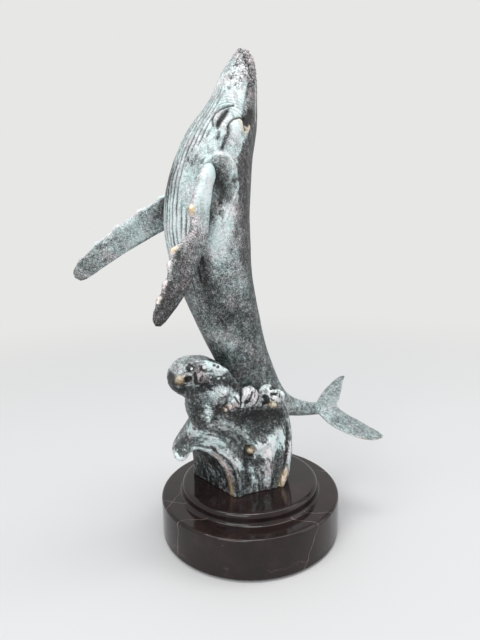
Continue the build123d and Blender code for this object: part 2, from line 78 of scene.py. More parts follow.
# Body: x as a share of tail_reach, rise from tail to snout, half depth and half width as
# shares of girth_radius. The last rows round off the snout.
body_shares = [
    (0.980, -0.010, 0.165, 0.180), (0.840, -0.007, 0.175, 0.175), (0.680, 0.002, 0.215, 0.190),
    (0.545, 0.013, 0.258, 0.215), (0.400, 0.033, 0.325, 0.275), (0.165, 0.090, 0.510, 0.440),
    (-0.085, 0.200, 0.675, 0.600), (-0.225, 0.300, 0.775, 0.735), (-0.345, 0.400, 0.880, 0.865),
    (-0.420, 0.490, 0.985, 0.960), (-0.435, 0.600, 1.005, 0.985), (-0.380, 0.680, 0.945, 0.940),
    (-0.295, 0.750, 0.835, 0.860), (-0.180, 0.815, 0.680, 0.725), (-0.100, 0.880, 0.520, 0.565),
    (-0.045, 0.935, 0.400, 0.420), (-0.015, 0.968, 0.285, 0.300), (-0.008, 0.987, 0.190, 0.195),
    (-0.004, 0.9935, 0.145, 0.148), (-0.001, 0.9975, 0.085, 0.086), (0.000, 0.9990, 0.000, 0.000),
]

# Middle lines of the flippers as shares of flipper_length: x, outward, and up from the
# shoulder
left_flipper_shares = [
    (-0.230, 0.123, 0.128), (-0.307, 0.223, 0.036), (-0.384, 0.292, -0.158),
    (-0.484, 0.368, -0.379), (-0.591, 0.453, -0.566), (-0.696, 0.534, -0.698),
]
right_flipper_shares = [
    (-0.200, 0.110, 0.035), (-0.300, 0.200, -0.045), (-0.470, 0.275, -0.150),
    (-0.670, 0.350, -0.275), (-0.850, 0.440, -0.412), (-0.985, 0.520, -0.535),
]

# Lines and hollows of the left side as (height, angle) places: 0 degrees is the back and
# 180 the belly. The right side mirrors them.
mouth = [(285, 109), (282, 92), (278, 78), (273, 77), (266, 83), (260, 85), (255, 85), (251, 84)]
crescent = [(247, 127), (251, 134), (253, 135), (256, 130), (257, 122), (258, 108)]
crescent_hollow = [(247, 120), (251, 119), (255, 118)]
lower_lid = [(246, 105), (248.5, 104), (250.5, 100), (251.5, 90), (250, 83)]
cheek_lines = [
    [(243, 114), (240, 112)],
    [(247, 104), (242, 100), (238, 100), (234, 102)],
]
head_strokes = [
    [(255, 116.5), (253.5, 119), (251, 120), (248, 119), (245.5, 119)],
    [(253.5, 123), (250, 122.5), (247, 121)],
    [(241, 103), (238, 102), (234.5, 101)],
]
armpit = [(222, 105), (219, 98), (215, 90), (211, 87), (206, 89)]
eye_front = [(254.5, 68), (252.5, 71), (249.5, 76)]
eye_slit = [(250.5, 83), (247.5, 80), (245.5, 77), (244.8, 74)]
eye_curl = [(250, 90), (248, 86), (246, 82), (244, 78), (243.6, 73), (245, 69), (247.5, 66)]
eye_place = (246.2, 72.5)
upper_lid_place = (246, 92)
cheek_place = (244, 104)
shoulder_ridge = [(224, 122), (228, 117), (230.5, 110), (231.5, 102), (230.5, 90), (227, 80), (221, 74)]
flank_crease = [(218, 70), (215, 68), (209, 73), (204, 78), (200, 82), (195, 89)]

# Width, depth and darkness of each carved line
carvings = [
    (mouth, 0.9, 0.6, 0.3),
    (crescent, 0.6, 0.6, 0.62),
    (crescent_hollow, 1.7, 0.8, 0.2),
    (lower_lid, 0.55, 0.6, 0.6),
    *[(line, 0.8, 0.4, 0.2) for line in cheek_lines],
    *[(line, 0.75, 0.4, 0.45) for line in head_strokes],
    (armpit, 4.0, 1.4, 0.0),
    (eye_front, 2.0, 0.5, 0.34),
    (eye_slit, 0.5, 0.5, 0.7),
]
# Width and height of each ridge, and the level it shows, from 0 for dark to 1 for pale
ridges = [(shoulder_ridge, 1.0, 0.8, 0.86), (flank_crease, 0.7, 0.5, 0.80)]
# Lines through light and dark areas, each with a width and a level
tones = [
    ([(254.5, 69), (252.5, 72), (250, 76)], 2.6, 0.02),
    ([(279, 44), (269, 49), (261, 48), (252, 47)], 0.9, 0.78),
    ([(253, 70), (251.5, 80)], 2.1, 0.06),
    ([(247, 92), (244, 92)], 3.0, 0.92),
    ([(248, 121), (251.5, 119), (255, 117)], 1.4, 0.34),
    ([(243, 114), (240, 112)], 1.0, 0.50),
    ([(246, 103), (242, 100), (238, 100), (235, 102)], 1.0, 0.42),
    ([(229, 101), (226, 95), (222, 89)], 2.2, 0.50),
    # Painted shadow in the armpit and down the body beside the flipper, on this line and the next
    ([(222, 105), (219, 99), (215, 92), (210, 88), (206, 90)], 4.8, 0.06),
    ([(203, 96), (200, 101), (194, 106)], 3.4, 0.18),
    ([(202, 81), (195, 87), (189, 96), (177, 106)], 6.6, 0.87),
    ([(206, 150), (192, 146), (184, 142)], 8.0, 0.92),
    ([(262, 97), (256, 96)], 4.5, 0.97),
    ([(186, 72), (177, 80), (170, 86), (162, 72)], 6.0, 0.56),
    # Painted shadow on the body beside the flipper
    ([(176, 119), (170, 122), (165, 123)], 4.5, 0.12),
    ([(156, 116), (151, 109), (145, 102)], 7.0, 0.20),
    ([(133, 140), (130, 130), (127, 117)], 5.5, 0.60),
    ([(214, 178), (224, 179)], 4.6, 0.46),
    ([(219, 145), (211, 140), (205, 137)], 6.0, 0.78),
    ([(229, 142), (227, 127)], 3.4, 0.56),
    ([(219, 74), (218, 76)], 1.2, 0.22),
    ([(196, 82), (187, 87), (181, 92)], 3.8, 0.86),
    ([(163, 80), (160, 90), (154, 100)], 5.0, 0.50),
    ([(287, 55), (280, 34), (270, 27), (258, 25), (250, 26)], 0.8, 0.80),
]
# Worn, pitted patches and their widths
worn_patches = [
    ([(275, 131), (266, 131)], 3.0),
    ([(230, 143), (227, 126)], 4.0),
    ([(206, 92), (199, 94)], 4.0),
]
# Angle from which the pleats reach to the belly, and the one where the dark back ends, as
# (height, angle) rows
pleat_edge = [
    (165, 126), (190, 126), (201, 130), (207, 141), (215, 150), (231, 150),
    (237, 136), (242, 126), (255, 130), (262, 138), (276, 156),
]
back_edge = [
    (160, 45), (175, 62), (184, 71), (194, 76), (202, 72), (208, 68), (216, 69), (227, 74),
    (232, 74), (244, 65), (251, 84), (255, 85), (266, 83), (273, 77), (280, 82), (288, 100),
]
# Levels of flank, back and belly as (height, level) rows
flank_levels = [
    (80, 0.56), (110, 0.33), (140, 0.36), (154, 0.37), (170, 0.41), (185, 0.36),
    (200, 0.48), (220, 0.70), (240, 0.82), (275, 0.84), (292, 0.66),
]
back_levels = [
    (80, 0.56), (110, 0.33), (150, 0.28), (200, 0.24), (230, 0.22),
    (245, 0.30), (260, 0.32), (268, 0.42), (276, 0.62), (292, 0.68),
]
belly_levels = [(178, 0.82), (188, 0.84), (201, 0.70), (212, 0.70), (228, 0.78)]


def smooth(ts, values, at):
    """A natural cubic spline through rows of values at ts, read at the places at."""
    count = len(ts)
    step = np.diff(ts)
    slope = np.diff(values, axis=0) / step[:, None]
    matrix = np.eye(count)
    right = np.zeros_like(values)
    for i in range(1, count - 1):
        matrix[i, i - 1 : i + 2] = step[i - 1], 2 * (step[i - 1] + step[i]), step[i]
        right[i] = 6 * (slope[i] - slope[i - 1])
    bend = np.linalg.solve(matrix, right)
    k = np.clip(np.searchsorted(ts, at, side="right") - 1, 0, count - 2)
    after = (at - ts[k])[:, None]
    before = (ts[k + 1] - at)[:, None]
    width = step[k][:, None]
    curve = (bend[k] * before**3 + bend[k + 1] * after**3) / (6 * width)
    low = (values[k] / width - bend[k] * width / 6) * before
    high = (values[k + 1] / width - bend[k + 1] * width / 6) * after
    return curve + low + high


def arc_lengths(points):
    """The way along a line to each of its points."""
    return np.concatenate([[0], np.cumsum(np.linalg.norm(np.diff(points, axis=0), axis=1))])


def unit(vectors):
    return vectors / np.maximum(np.linalg.norm(vectors, axis=-1, keepdims=True), 1e-9)


def fade(value, start, end):
    """A smooth step from 0 at start to 1 at end."""
    x = np.clip((value - start) / (end - start), 0, 1)
    return x * x * (3 - 2 * x)


def band(value, rise, fall):
    """A smooth step up and one down, each given as its start and end."""
    return fade(value, *rise) * (1 - fade(value, *fall))


def bell(distance, width):
    """1 at no distance and near 0 beyond twice the width."""
    return np.exp(-((distance / width) ** 2))


def toward(value, level, share):
    """The value, moved to a level by a share of the way."""
    return value + (level - value) * share


def read_rows(rows, at):
    """The level at each place, from rows of place and level."""
    places, levels = zip(*rows)
    return np.interp(at, places, levels)


def grain(points, size, seed, octaves=2):
    """Smooth noise of about -1 to 1 whose lumps are size millimetres across."""
    shift = Vector((seed, seed * 1.7, -seed))
    flat = points.reshape(-1, 3) / size
    values = [
        noise.fractal(Vector(p) + shift, 0.6, 2.1, octaves, noise_basis="PERLIN_ORIGINAL")
        for p in flat
    ]
    return np.array(values).reshape(points.shape[:-1])


def cells(points, size, seed):
    """Distance to the nearest of scattered spots and how far the next one lags, as shares
    of the size in millimetres that the spots are apart."""
    shift = Vector((seed, -seed, 0.6 * seed))
    flat = points.reshape(-1, 3) / size
    found = np.array([noise.voronoi(Vector(p) + shift)[0][:2] for p in flat])
    found[:, 1] -= found[:, 0]
    return found.T.reshape(2, *points.shape[:-1])


def to_run(points, a, b):
    """The distance from each point to the straight run from a to b."""
    along = b - a
    part = np.clip((points - a) @ along / (along @ along), 0, 1)
    return np.linalg.norm(points - a - part[..., None] * along, axis=-1)


def to_line(points, line):
    """The distance from each point to a line through places, where that is small enough
    to count."""
    far = 14
    line = np.asarray(line, float)
    flat = points.reshape(-1, line.shape[1])
    near = np.all((flat > line.min(0) - far) & (flat < line.max(0) + far), axis=1)
    close = flat[near]
    found = np.full(len(close), np.inf)
    for a, b in zip(line, line[1:]):
        found = np.minimum(found, to_run(close, a, b))
    best = np.full(len(flat), np.inf)
    best[near] = found
    return best.reshape(points.shape[:-1])


def in_radii(points, centre, radii):
    """The distance from a centre, in radii of the ellipsoid round it."""
    return np.linalg.norm((points - centre) / radii, axis=-1)


def grid_normals(points):
    """Outward normals of a closed tube of points."""
    along = np.gradient(points, axis=0)
    across = np.roll(points, -1, 1) - np.roll(points, 1, 1)
    normals = unit(np.cross(along, across))
    centre = points.mean(1, keepdims=True)
    return normals * np.sign(((points - centre) * normals).sum(-1).mean())


def ring_faces(rows, columns):
    """Faces of a closed tube of rows by columns vertices, with one face at each end."""
    number = np.arange(rows * columns).reshape(rows, columns)
    beside = np.roll(number, -1, 1)
    quads = np.stack([number[:-1], beside[:-1], beside[1:], number[1:]], -1)
    return quads.reshape(-1, 4).tolist() + [number[0, ::-1].tolist(), number[-1].tolist()]


def add_object(name, data):
    item = bpy.data.objects.new(name, data)
    bpy.context.scene.collection.objects.link(item)
    return item


def add_skin(name, node, look, points, faces, pale, dark, gold, warm, contrast):
    """A mesh piece in the CAD's frame, in place of a node, with masks for its patina."""
    masks = {"pale": pale, "dark": dark, "gold": gold, "warm": warm, "contrast": contrast}
    mesh = bpy.data.meshes.new(name)
    mesh.from_pydata((points.reshape(-1, 3) * MM).tolist(), [], faces)
    mesh.update()
    mesh.polygons.foreach_set("use_smooth", [True] * len(mesh.polygons))
    for key, values in masks.items():
        layer = mesh.attributes.new(key, "FLOAT", "POINT")
        layer.data.foreach_set("value", np.clip(values, 0, 1).reshape(-1).astype(np.float32))
    mesh.materials.append(patina(look))
    piece = add_object(name, mesh)
    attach(piece, "root")
    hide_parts(node)


# Materials

# Sizes in millimetres of the patina's mottling, and the weight of each
mottle = [(0.6, 1.7), (1.8, 1.0), (6.0, 0.55)]
palest = 0.9
cool_tint = (0.82, 1.0, 0.99, 1)
rose_tint = (1.07, 0.93, 0.95, 1)
gold_colour = (0.66, 0.47, 0.22, 1)
# Sheets of pale vein through the stone: unit normal, then distance from the origin in mm
vein_sheets = [
    ((-0.31, -0.951, -0.019), 33.85),
    ((0.576, 0.747, -0.334), -37.55),
    ((0.62, 0.74, 0.26), 39.0),
    ((-0.71, 0.66, 0.24), 44.0),
]
vein_width = 0.32
vein_top = 27
squiggle_width = 0.28
squiggle_height = 7
vein_colour = (0.34, 0.27, 0.23, 1)


class Graph:
    """A node tree whose nodes are added by kind and wired by socket name."""

    def __init__(self, tree):
        self.tree = tree

    def add(self, kind, settings=None, **inputs):
        """A node with settings and inputs, where _0 stands for the first input."""
        node = self.tree.nodes.new("ShaderNode" + kind)
        for key, value in (settings or {}).items():
            setattr(node, key, value)
        for key, value in inputs.items():
            numbered = key[1:].isdigit()
            self.put(node.inputs[int(key[1:]) if numbered else key.replace("_", " ")], value)
        return node

    def put(self, socket, value):
        if isinstance(value, bpy.types.NodeSocket):
            self.tree.links.new(value, socket)
        else:
            socket.default_value = value

    def math(self, operation, a, b=0.0, clamp=False):
        node = self.add("Math", {"operation": operation, "use_clamp": clamp}, _0=a, _1=b)
        return node.outputs[0]

    def plus(self, a, b, clamp=False):
        return self.math("ADD", a, b, clamp)

    def minus(self, a, b, clamp=False):
        return self.math("SUBTRACT", a, b, clamp)

    def times(self, a, b, clamp=False):
        return self.math("MULTIPLY", a, b, clamp)

    def most(self, a, b):
        return self.math("MAXIMUM", a, b)


class Shader(Graph):
    """A material on the principled surface."""

    def __init__(self, name):
        self.material = bpy.data.materials.new(name)
        self.material.use_nodes = True
        super().__init__(self.material.node_tree)
        self.surface = self.tree.nodes["Principled BSDF"]

    def set(self, name, value):
        self.put(self.surface.inputs[name], value)

    def mask(self, name):
        return self.add("Attribute", {"attribute_name": name}).outputs["Fac"]

    def place(self):
        return self.add("TexCoord").outputs["Object"]

    def noise(self, size, detail=2.0, rough=0.5):
        """Noise from 0 to 1 whose lumps are size millimetres across."""
        scale = 1 / (size * MM)
        node = self.add("TexNoise", Vector=self.place(), Scale=scale, Detail=detail, Roughness=rough)
        return node.outputs["Fac"]

    def swing(self, size, detail, rough):
        """The same noise, from -0.5 to 0.5."""
        return self.minus(self.noise(size, detail, rough), 0.5)

    def ramp(self, value, stops):
        node = self.add("ValToRGB", Fac=value)
        ramp = node.color_ramp
        while len(ramp.elements) < len(stops):
            ramp.elements.new(0.5)
        for element, (place, colour) in zip(ramp.elements, stops):
            element.position = place
            element.color = (*colour, 1)
        return node.outputs["Color"]

    def patches(self, size, detail, start, end, low=0):
        """Patches of 1 on low, where noise rises past start and end."""
        return self.ramp(self.noise(size, detail), [(start, (low,) * 3), (end, (1,) * 3)])

    def thread(self, distance, width):
        """1 where a distance in metres is zero, and 0 beyond a width in millimetres."""
        share = self.math("DIVIDE", self.math("ABSOLUTE", distance), width * MM)
        return self.minus(1.0, share, clamp=True)

    def mix(self, part, a, b, blend="MIX"):
        node = self.add("Mix", {"data_type": "RGBA", "blend_type": blend}, _0=part, _6=a, _7=b)
        return node.outputs[2]

    def bump(self, height, strength, distance):
        node = self.add("Bump", Height=height, Strength=strength, Distance=distance * MM)
        self.set("Normal", node.outputs["Normal"])


def patina(name):
    """Cast bronze under a mottled blue-green patina, rubbed to gold in places. The pale
    mask is the level it shows, dark takes from it, and contrast spreads the mottling."""
    s = Shader(name)
    spread = 0.0
    for size, weight in mottle:
        spread = s.plus(s.times(s.swing(size, 3, 0.68), weight), spread)
    value = s.plus(s.mask("pale"), s.times(spread, s.mask("contrast")))
    value = s.math("MINIMUM", s.minus(value, s.mask("dark"), clamp=True), palest)
    colour = s.ramp(value, [(level, (level**2.2,) * 3) for level in (0.0, 0.15, 0.3, 0.5, 0.75, 1.0)])
    warmth = s.plus(s.mask("warm"), s.times(s.swing(8.0, 2, 0.5), 1.2), clamp=True)
    cool = s.mix(1.0, colour, cool_tint, "MULTIPLY")
    rose = s.mix(1.0, colour, rose_tint, "MULTIPLY")
    gold = s.times(s.mask("gold"), s.plus(s.noise(0.7), 0.45), clamp=True)
    s.set("Base Color", s.mix(gold, s.mix(warmth, cool, rose), gold_colour))
    s.set("Metallic", s.plus(s.times(gold, 0.8), 0.1, clamp=True))
    s.set("Roughness", s.minus(s.plus(s.times(value, 0.12), 0.44), s.times(gold, 0.15)))
    s.bump(s.noise(0.8, 3, 0.6), 0.4, 0.25)
    return s.material


def marble():
    """Polished near-black stone, cloudy in a reddish brown that is partly its own colour and
    partly a painted reflection, with thin pale veins, flecks and a squiggle low on the rim."""
    s = Shader("marble_look")
    # Reddish-brown cloud colours: partly the stone's own, partly a painted reflection of a red cloth
    cloud_and_reflection_colours = [(0.3, (0.010, 0.007, 0.007)), (0.6, (0.022, 0.013, 0.012)), (0.8, (0.042, 0.022, 0.018))]
    stone = s.ramp(s.noise(14, 5, 0.6), cloud_and_reflection_colours)
    place = s.place()
    height = s.add("SeparateXYZ", Vector=place).outputs["Z"]
    wander = s.times(s.swing(16, 4, 0.6), 6 * MM)
    veins = 0.0
    for normal, offset in vein_sheets:
        across = s.add("VectorMath", {"operation": "DOT_PRODUCT"}, _0=place, _1=normal).outputs["Value"]
        across = s.plus(s.minus(across, offset * MM), wander)
        veins = s.most(s.thread(across, vein_width), veins)
    veins = s.times(veins, s.patches(9, 3, 0.32, 0.6, 0.1))
    veins = s.times(veins, s.math("LESS_THAN", height, vein_top * MM))
    rise = s.plus(height, s.times(s.swing(7, 4, 0.65), 16 * MM))
    squiggle = s.thread(s.minus(rise, squiggle_height * MM), squiggle_width)
    squiggle = s.times(squiggle, s.patches(14, 2, 0.5, 0.58))
    fleck = s.patches(1.3, 2, 0.72, 0.77)
    marks = s.most(s.most(s.times(veins, 0.55), s.times(fleck, 0.22)), s.times(squiggle, 0.28))
    s.set("Base Color", s.mix(marks, stone, vein_colour))
    s.set("Roughness", 0.10)
    s.set("Specular IOR Level", 0.34)
    return s.material


def felt():
    """Dark, fuzzy felt."""
    s = Shader("felt_look")
    s.set("Base Color", s.mix(s.noise(0.5, 3), (0.012, 0.014, 0.012, 1), (0.04, 0.045, 0.04, 1)))
    s.set("Roughness", 0.95)
    s.bump(s.noise(0.35, 3), 0.8, 0.3)
    return s.material


def metal(name, low, high, roughness):
    """Plain metal that varies between two colours."""
    s = Shader(name)
    brushed = s.add("TexNoise", Vector=s.place(), Scale=900.0, Detail=3.0).outputs["Fac"]
    s.set("Base Color", s.mix(brushed, (*low, 1), (*high, 1)))
    s.set("Metallic", 1.0)
    s.set("Roughness", s.plus(s.times(brushed, 0.15), roughness))
    s.bump(brushed, 0.15, 0.1)
    return s.material


# Whale body

rings, spokes = ((760, 440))
# Degrees from pleat to pleat, the height where they start, and between which they end, and
# their depth on the throat, with what they lose of it on the chin
pleat_pitch = 7.5
pleat_start = 160
pleat_end = (266, 277)
pleat_depth = 0.75
chin_loss = 0.35
# Fine lines round the cheek: the way from one to the next, and their middle radius
sweep_pitch = 1.9
sweep_radius = 16
# The swollen collar round each flipper's root, and the knobs of the snout
collar_radius = 4.6
collar_height = 1.7
knob_size = 1.9


def spine_places(rows):
    """Places on the body's middle line, from rows of its shares."""
    rows = np.array(rows)
    x = rows[:, 0] * tail_reach
    return np.column_stack([x, 0 * x, tail_height + rows[:, 1] * (snout_top - tail_height)])


def body_surface():
    """Points and outward normals of the smooth body, and the angles of its columns."""
    centre = spine_places(body_shares)
    ts = arc_lengths(centre)
    sizes = np.array(body_shares)[:, 2:] * girth_radius
    table = smooth(ts, np.column_stack([centre, sizes]), np.linspace(0, ts[-1], rings))
    table[:, 3:] = np.maximum(table[:, 3:], 0.05)
    along = unit(np.gradient(table[:, :3], axis=0))
    right = np.array([0, 1.0, 0])
    back = np.cross(right, along)
    angle = np.linspace(-pi, pi, spokes, endpoint=False)
    depth = table[:, 3, None, None] * np.cos(angle)[None, :, None]
    width = table[:, 4, None, None] * np.sin(angle)[None, :, None]
    points = table[:, None, :3] + back[:, None] * depth - right * width
    return points, grid_normals(points), np.degrees(angle)


def on_body(points, angles, place):
    """The body's surface at a height and angle."""
    height, degrees = place
    column = np.argmin(np.abs(angles - degrees))
    rows = np.argsort(np.abs(points[:, column, 2] - height))
    upper = rows[rows > len(points) // 3]
    return points[upper[0], column]


def flipper_places(shares, side):
    """Places on a flipper's middle line: side is -1 for the left one and 1 for the right."""
    return np.array(shares) * (1, side, 1) * flipper_length + (0, 0, shoulder_height)


def whale():
    """The whale's skin, with its pleats, folds, eyes, knobs and patina."""
    points, normals, angles = body_surface()
    side = np.abs(angles)
    z = points[..., 2]

    def both(places):
        """A line through places on the skin, and its mirror."""
        left = np.array([on_body(points, angles, place) for place in places])
        return left, left * mirror

    def marks(places, width):
        """How near the skin is to a line through places, on either side."""
        return [bell(to_line(points, line), width) for line in both(places)]

    rough = grain(points, 14.0, 3.0)
    small = grain(points, 2.4, 8.0, 3)
    streaky = grain(points * (1, 1, 0.22), 3.2, 15.0)

    # Pleats from the chin over throat and belly
    meander = 1.1 * rough + 0.7 * grain(points * (1, 1, 0.25), 6.0, 5.0)
    phase = (180 - side) / pleat_pitch + 0.22 * meander
    groove = bell(np.abs(phase - np.round(phase)), 0.16 + 0.05 * streaky)
    start = pleat_start + 5 * np.sin(2.3 * np.round(phase))
    limit = read_rows(pleat_edge, z)
    groove = groove * band(z, (start, start + 11), pleat_end) * fade(side, limit - 3, limit + 3)
    deep = pleat_depth - chin_loss * fade(z, 235, 250)
    lift = -deep * groove
    dark = (0.16 + 0.66 * deep) * groove * np.maximum(0.8 + 0.5 * streaky, 0)

    # Fine lines that sweep from the throat round the cheek
    for middle in both([cheek_place]):
        away = np.linalg.norm(points - middle[0], axis=-1)
        sweep = np.sin(2 * pi * (away / sweep_pitch + 0.5 * rough))
        where = bell(away - sweep_radius, 7.0) * fade(z, 243, 252) * band(side, (70, 80), (135, 150))
        lift += 0.13 * sweep * where
        dark = np.maximum(dark, 0.22 * np.clip(-sweep, 0, 1) * where)

    for places, width, depth, shade in carvings:
        for shape in marks(places, width):
            lift -= depth * shape
            dark = np.maximum(dark, shade * shape)
    roots = flipper_places(left_flipper_shares[:2], -1)
    for root in (roots, roots * mirror):
        collar = bell(to_line(points, root) - collar_radius, 2.0) * fade(z, 217, 226)
        lift += collar_height * collar

    # How pale each area is
    edge = read_rows(back_edge, z)
    inner = fade(side + 4 * small, edge - 3, edge + 3)
    pale = toward(read_rows(back_levels, z), read_rows(flank_levels, z), inner)
    pale = pale + 0.07 * rough + 0.10 * streaky
    belly = fade(side, 112, 124) * band(z, (166, 182), (232, 246))
    pale = toward(pale, read_rows(belly_levels, z), belly)
    pale -= 0.10 * fade(side, 134, 156) * band(z, (240, 252), (262, 274))
    for places, width, level in tones:
        for shape in marks(places, width):
            pale = toward(pale, level, shape)
    contrast = 0.85 - 0.30 * fade(pale, 0.5, 0.9) + 0.15 * (1 - fade(z, 170, 200))
    contrast -= 0.15 * inner * band(z, (240, 255), (266, 276))
    hatch = fade(streaky + 0.5 * small, 0.05, 0.45) * fade(z, 205, 240) * inner
    dark = np.maximum(dark, 0.20 * hatch)

    # Ridge round the flipper's root, the pale crease behind it, the eye and its lids
    for places, width, height, level in ridges:
        for shape in marks(places, width):
            lift += height * shape
            pale = toward(pale, level, 0.8 * shape)
    gold = np.zeros_like(z)
    for curl in marks(eye_curl, 0.85):
        lift += 0.5 * curl
        pale = toward(pale, 0.9, curl)
        gold = np.maximum(gold, 0.42 * curl)
    for (eye,), (lid,) in zip(both([eye_place]), both([upper_lid_place])):
        to_eye = np.linalg.norm(points - eye, axis=-1)
        to_lid = np.linalg.norm((points - lid) * (1, 1, 0.7), axis=-1)
        to_socket = to_line(points, [eye + (0, 0, 3.5), eye - (0, 0, 2.5)])
        lift += 0.6 * bell(to_eye, 0.8) + bell(to_lid, 2.7)
        lift += 0.64 * bell(to_socket - 2.6, 1.0) * bell(to_lid - 5, 2.5)
        gold = np.maximum(gold, 0.7 * bell(to_eye, 0.7))
        pale = toward(pale, 0.95, bell(to_eye, 0.7))

    # Knobs on the snout, with dark seams between them
    top = z.max(1) > 262
    near, lag = np.ones_like(z), np.ones_like(z)
    near[top], lag[top] = cells(points[top], knob_size, 21.0)
    head = fade(z + 3 * rough, 265, 275) * (1 - 0.6 * fade(side, 130, 150))
    patchy = fade(grain(points, 4.0, 27.0), -0.25, 0.2)
    seam = 1 - fade(lag, 0.02, 0.24)
    lift += head * (0.6 * (1 - fade(near, 0.1, 0.6)) - 0.35 * seam) * (0.4 + 0.6 * patchy)
    dark = np.maximum(dark, head * seam * (0.2 + 0.8 * patchy) * 0.62)
    dark = np.maximum(dark, 0.26 * head * fade(small, 0.05, 0.45))
    pits = fade(streaky + 0.6 * small, 0.12, 0.4)
    for places, width in worn_patches:
        for shape in marks(places, width):
            dark = np.maximum(dark, 0.36 * shape * pits)
            lift -= 0.25 * shape * pits

    lift += 0.16 * rough * (1 - head) + 0.05 * small
    lift *= fade(snout_top - z, 0.0, 2.0)
    warm = 0.22 + 0.4 * (1 - inner) * fade(z, 150, 190) + 0.12 * head + 0.25 * rough
    points = points + normals * lift[..., None]
    faces = ring_faces(*z.shape)
    add_skin("whale_skin", "whale_body", "whale_patina", points, faces, pale, dark, gold, warm, contrast)


# Flippers and flukes

# Share of length, then leading and trailing reach and thickness as shares of the chord
left_blade_shares = [
    (0.00, 0.22, 0.22, 0.36), (0.10, 0.24, 0.24, 0.35), (0.22, 0.31, 0.26, 0.33),
    (0.34, 0.35, 0.34, 0.29), (0.42, 0.18, 0.44, 0.27), (0.50, 0.15, 0.48, 0.26),
    (0.57, 0.33, 0.45, 0.24), (0.64, 0.46, 0.44, 0.22), (0.76, 0.33, 0.38, 0.20),
    (0.88, 0.28, 0.26, 0.17), (0.95, 0.24, 0.19, 0.14), (0.985, 0.15, 0.12, 0.10),
    (1.00, 0.00, 0.00, 0.00),
]
right_blade_shares = [
    (0.00, 0.32, 0.32, 0.36), (0.10, 0.36, 0.42, 0.34), (0.22, 0.41, 0.52, 0.31),
    (0.36, 0.41, 0.54, 0.28), (0.50, 0.39, 0.51, 0.25), (0.64, 0.36, 0.47, 0.22),
    (0.76, 0.33, 0.43, 0.20), (0.88, 0.29, 0.38, 0.17), (0.95, 0.23, 0.32, 0.14),
    (0.985, 0.14, 0.24, 0.10), (1.00, 0.00, 0.05, 0.00),
]
# Share of length, height in millimetres and how much gold shows, of each knob
left_knobs = [(0.378, 1.7, 1.0), (0.615, 1.7, 0.8), (0.70, 1.2, 0.1), (0.80, 1.2, 0.1), (0.89, 1.0, 0.25)]
right_knobs = [
    (0.14, 0.9, 0.0), (0.29, 1.0, 0.0), (0.44, 1.1, 0.0),
    (0.60, 1.0, 0.0), (0.75, 1.1, 0.0), (0.90, 0.9, 0.0),
]
left_lead_direction = (-0.85, -0.25, 0.45)
right_lead_direction = (-0.45, 0.15, 0.88)
# Levels at these shares of length: of the blade, its leading edge, its trailing edge, and
# the warmth of the tint
level_stations = [0, 0.1, 0.3, 0.42, 0.5, 0.62, 0.75, 1.0]
left_levels = [
    [0.80, 0.90, 0.84, 0.64, 0.54, 0.38, 0.28, 0.14],
    [0.70, 0.74, 0.66, 0.54, 0.50, 0.58, 0.52, 0.24],
    # Trailing edge, kept dark as painted shade on the side toward the body
    [0.40, 0.32, 0.32, 0.32, 0.30, 0.24, 0.18, 0.10],
    [0.10, 0.00, 0.15, 0.40, 0.45, 0.55, 0.60, 0.75],
]
right_levels = [
    # Blade, dark at the root as painted shade next to the body
    [0.05, 0.06, 0.20, 0.56, 0.74, 0.66, 0.54, 0.48],
    # Leading edge, pale from wear, and near the root also a painted highlight where it faces up
    [0.82, 0.86, 0.82, 0.80, 0.80, 0.82, 0.82, 0.62],
    # Trailing edge, dark at the root as painted shade next to the body
    [0.14, 0.20, 0.30, 0.40, 0.50, 0.66, 0.62, 0.46],
    [0.00, 0.00, 0.00, 0.05, 0.10, 0.20, 0.30, 0.40],
]
# Directions from the flukes' root: aft, and along the left to right line of the tips
fluke_aft = np.array([0.991, -0.096, -0.090])
fluke_side = np.array([0.125, 0.915, 0.383])
# Share of half span, then leading and trailing edge and thickness as shares of the depth
fluke_shares = [
    (-1.015, 0.69, 0.69, 0.000), (-1.00, 0.60, 0.78, 0.030), (-0.97, 0.50, 0.90, 0.045),
    (-0.90, 0.37, 0.97, 0.060), (-0.78, 0.22, 0.93, 0.075), (-0.60, 0.05, 0.79, 0.090),
    (-0.40, -0.05, 0.65, 0.110), (-0.22, -0.10, 0.49, 0.150), (-0.10, -0.12, 0.40, 0.205),
    (0.00, -0.14, 0.38, 0.230), (0.10, -0.08, 0.40, 0.205), (0.22, 0.00, 0.51, 0.150),
    (0.40, 0.16, 0.63, 0.110), (0.60, 0.37, 0.75, 0.090), (0.77, 0.58, 0.84, 0.070),
    (0.89, 0.76, 0.93, 0.050), (0.94, 0.86, 0.97, 0.030), (0.955, 0.93, 0.96, 0.000),
]


def blade_sizes(share, shares, rounds):
    """The three sizes of a blade at shares of its length, smoothed in rounds."""
    places, *columns = np.array(shares).T
    sizes = np.column_stack([np.interp(share, places, column) for column in columns])
    for _ in range(rounds):
        sizes[1:-1] = (sizes[:-2] + sizes[1:-1] * 2 + sizes[2:]) / 4
    return sizes


def blade_section(thickness, angle):
    """Height of a blade's skin round its section, fuller toward one edge."""
    return thickness[:, None] / 2 * np.sin(angle) * (1 + 0.3 * np.cos(angle))


def roughen(points, size, height, seed, fine_seed):
    """Points pushed out by coarse and fine noise, and the coarse noise."""
    coarse = grain(points, size, seed)
    push = height * coarse + 0.05 * grain(points, 2.0, fine_seed, 3)
    return points + grid_normals(points) * push[..., None], coarse


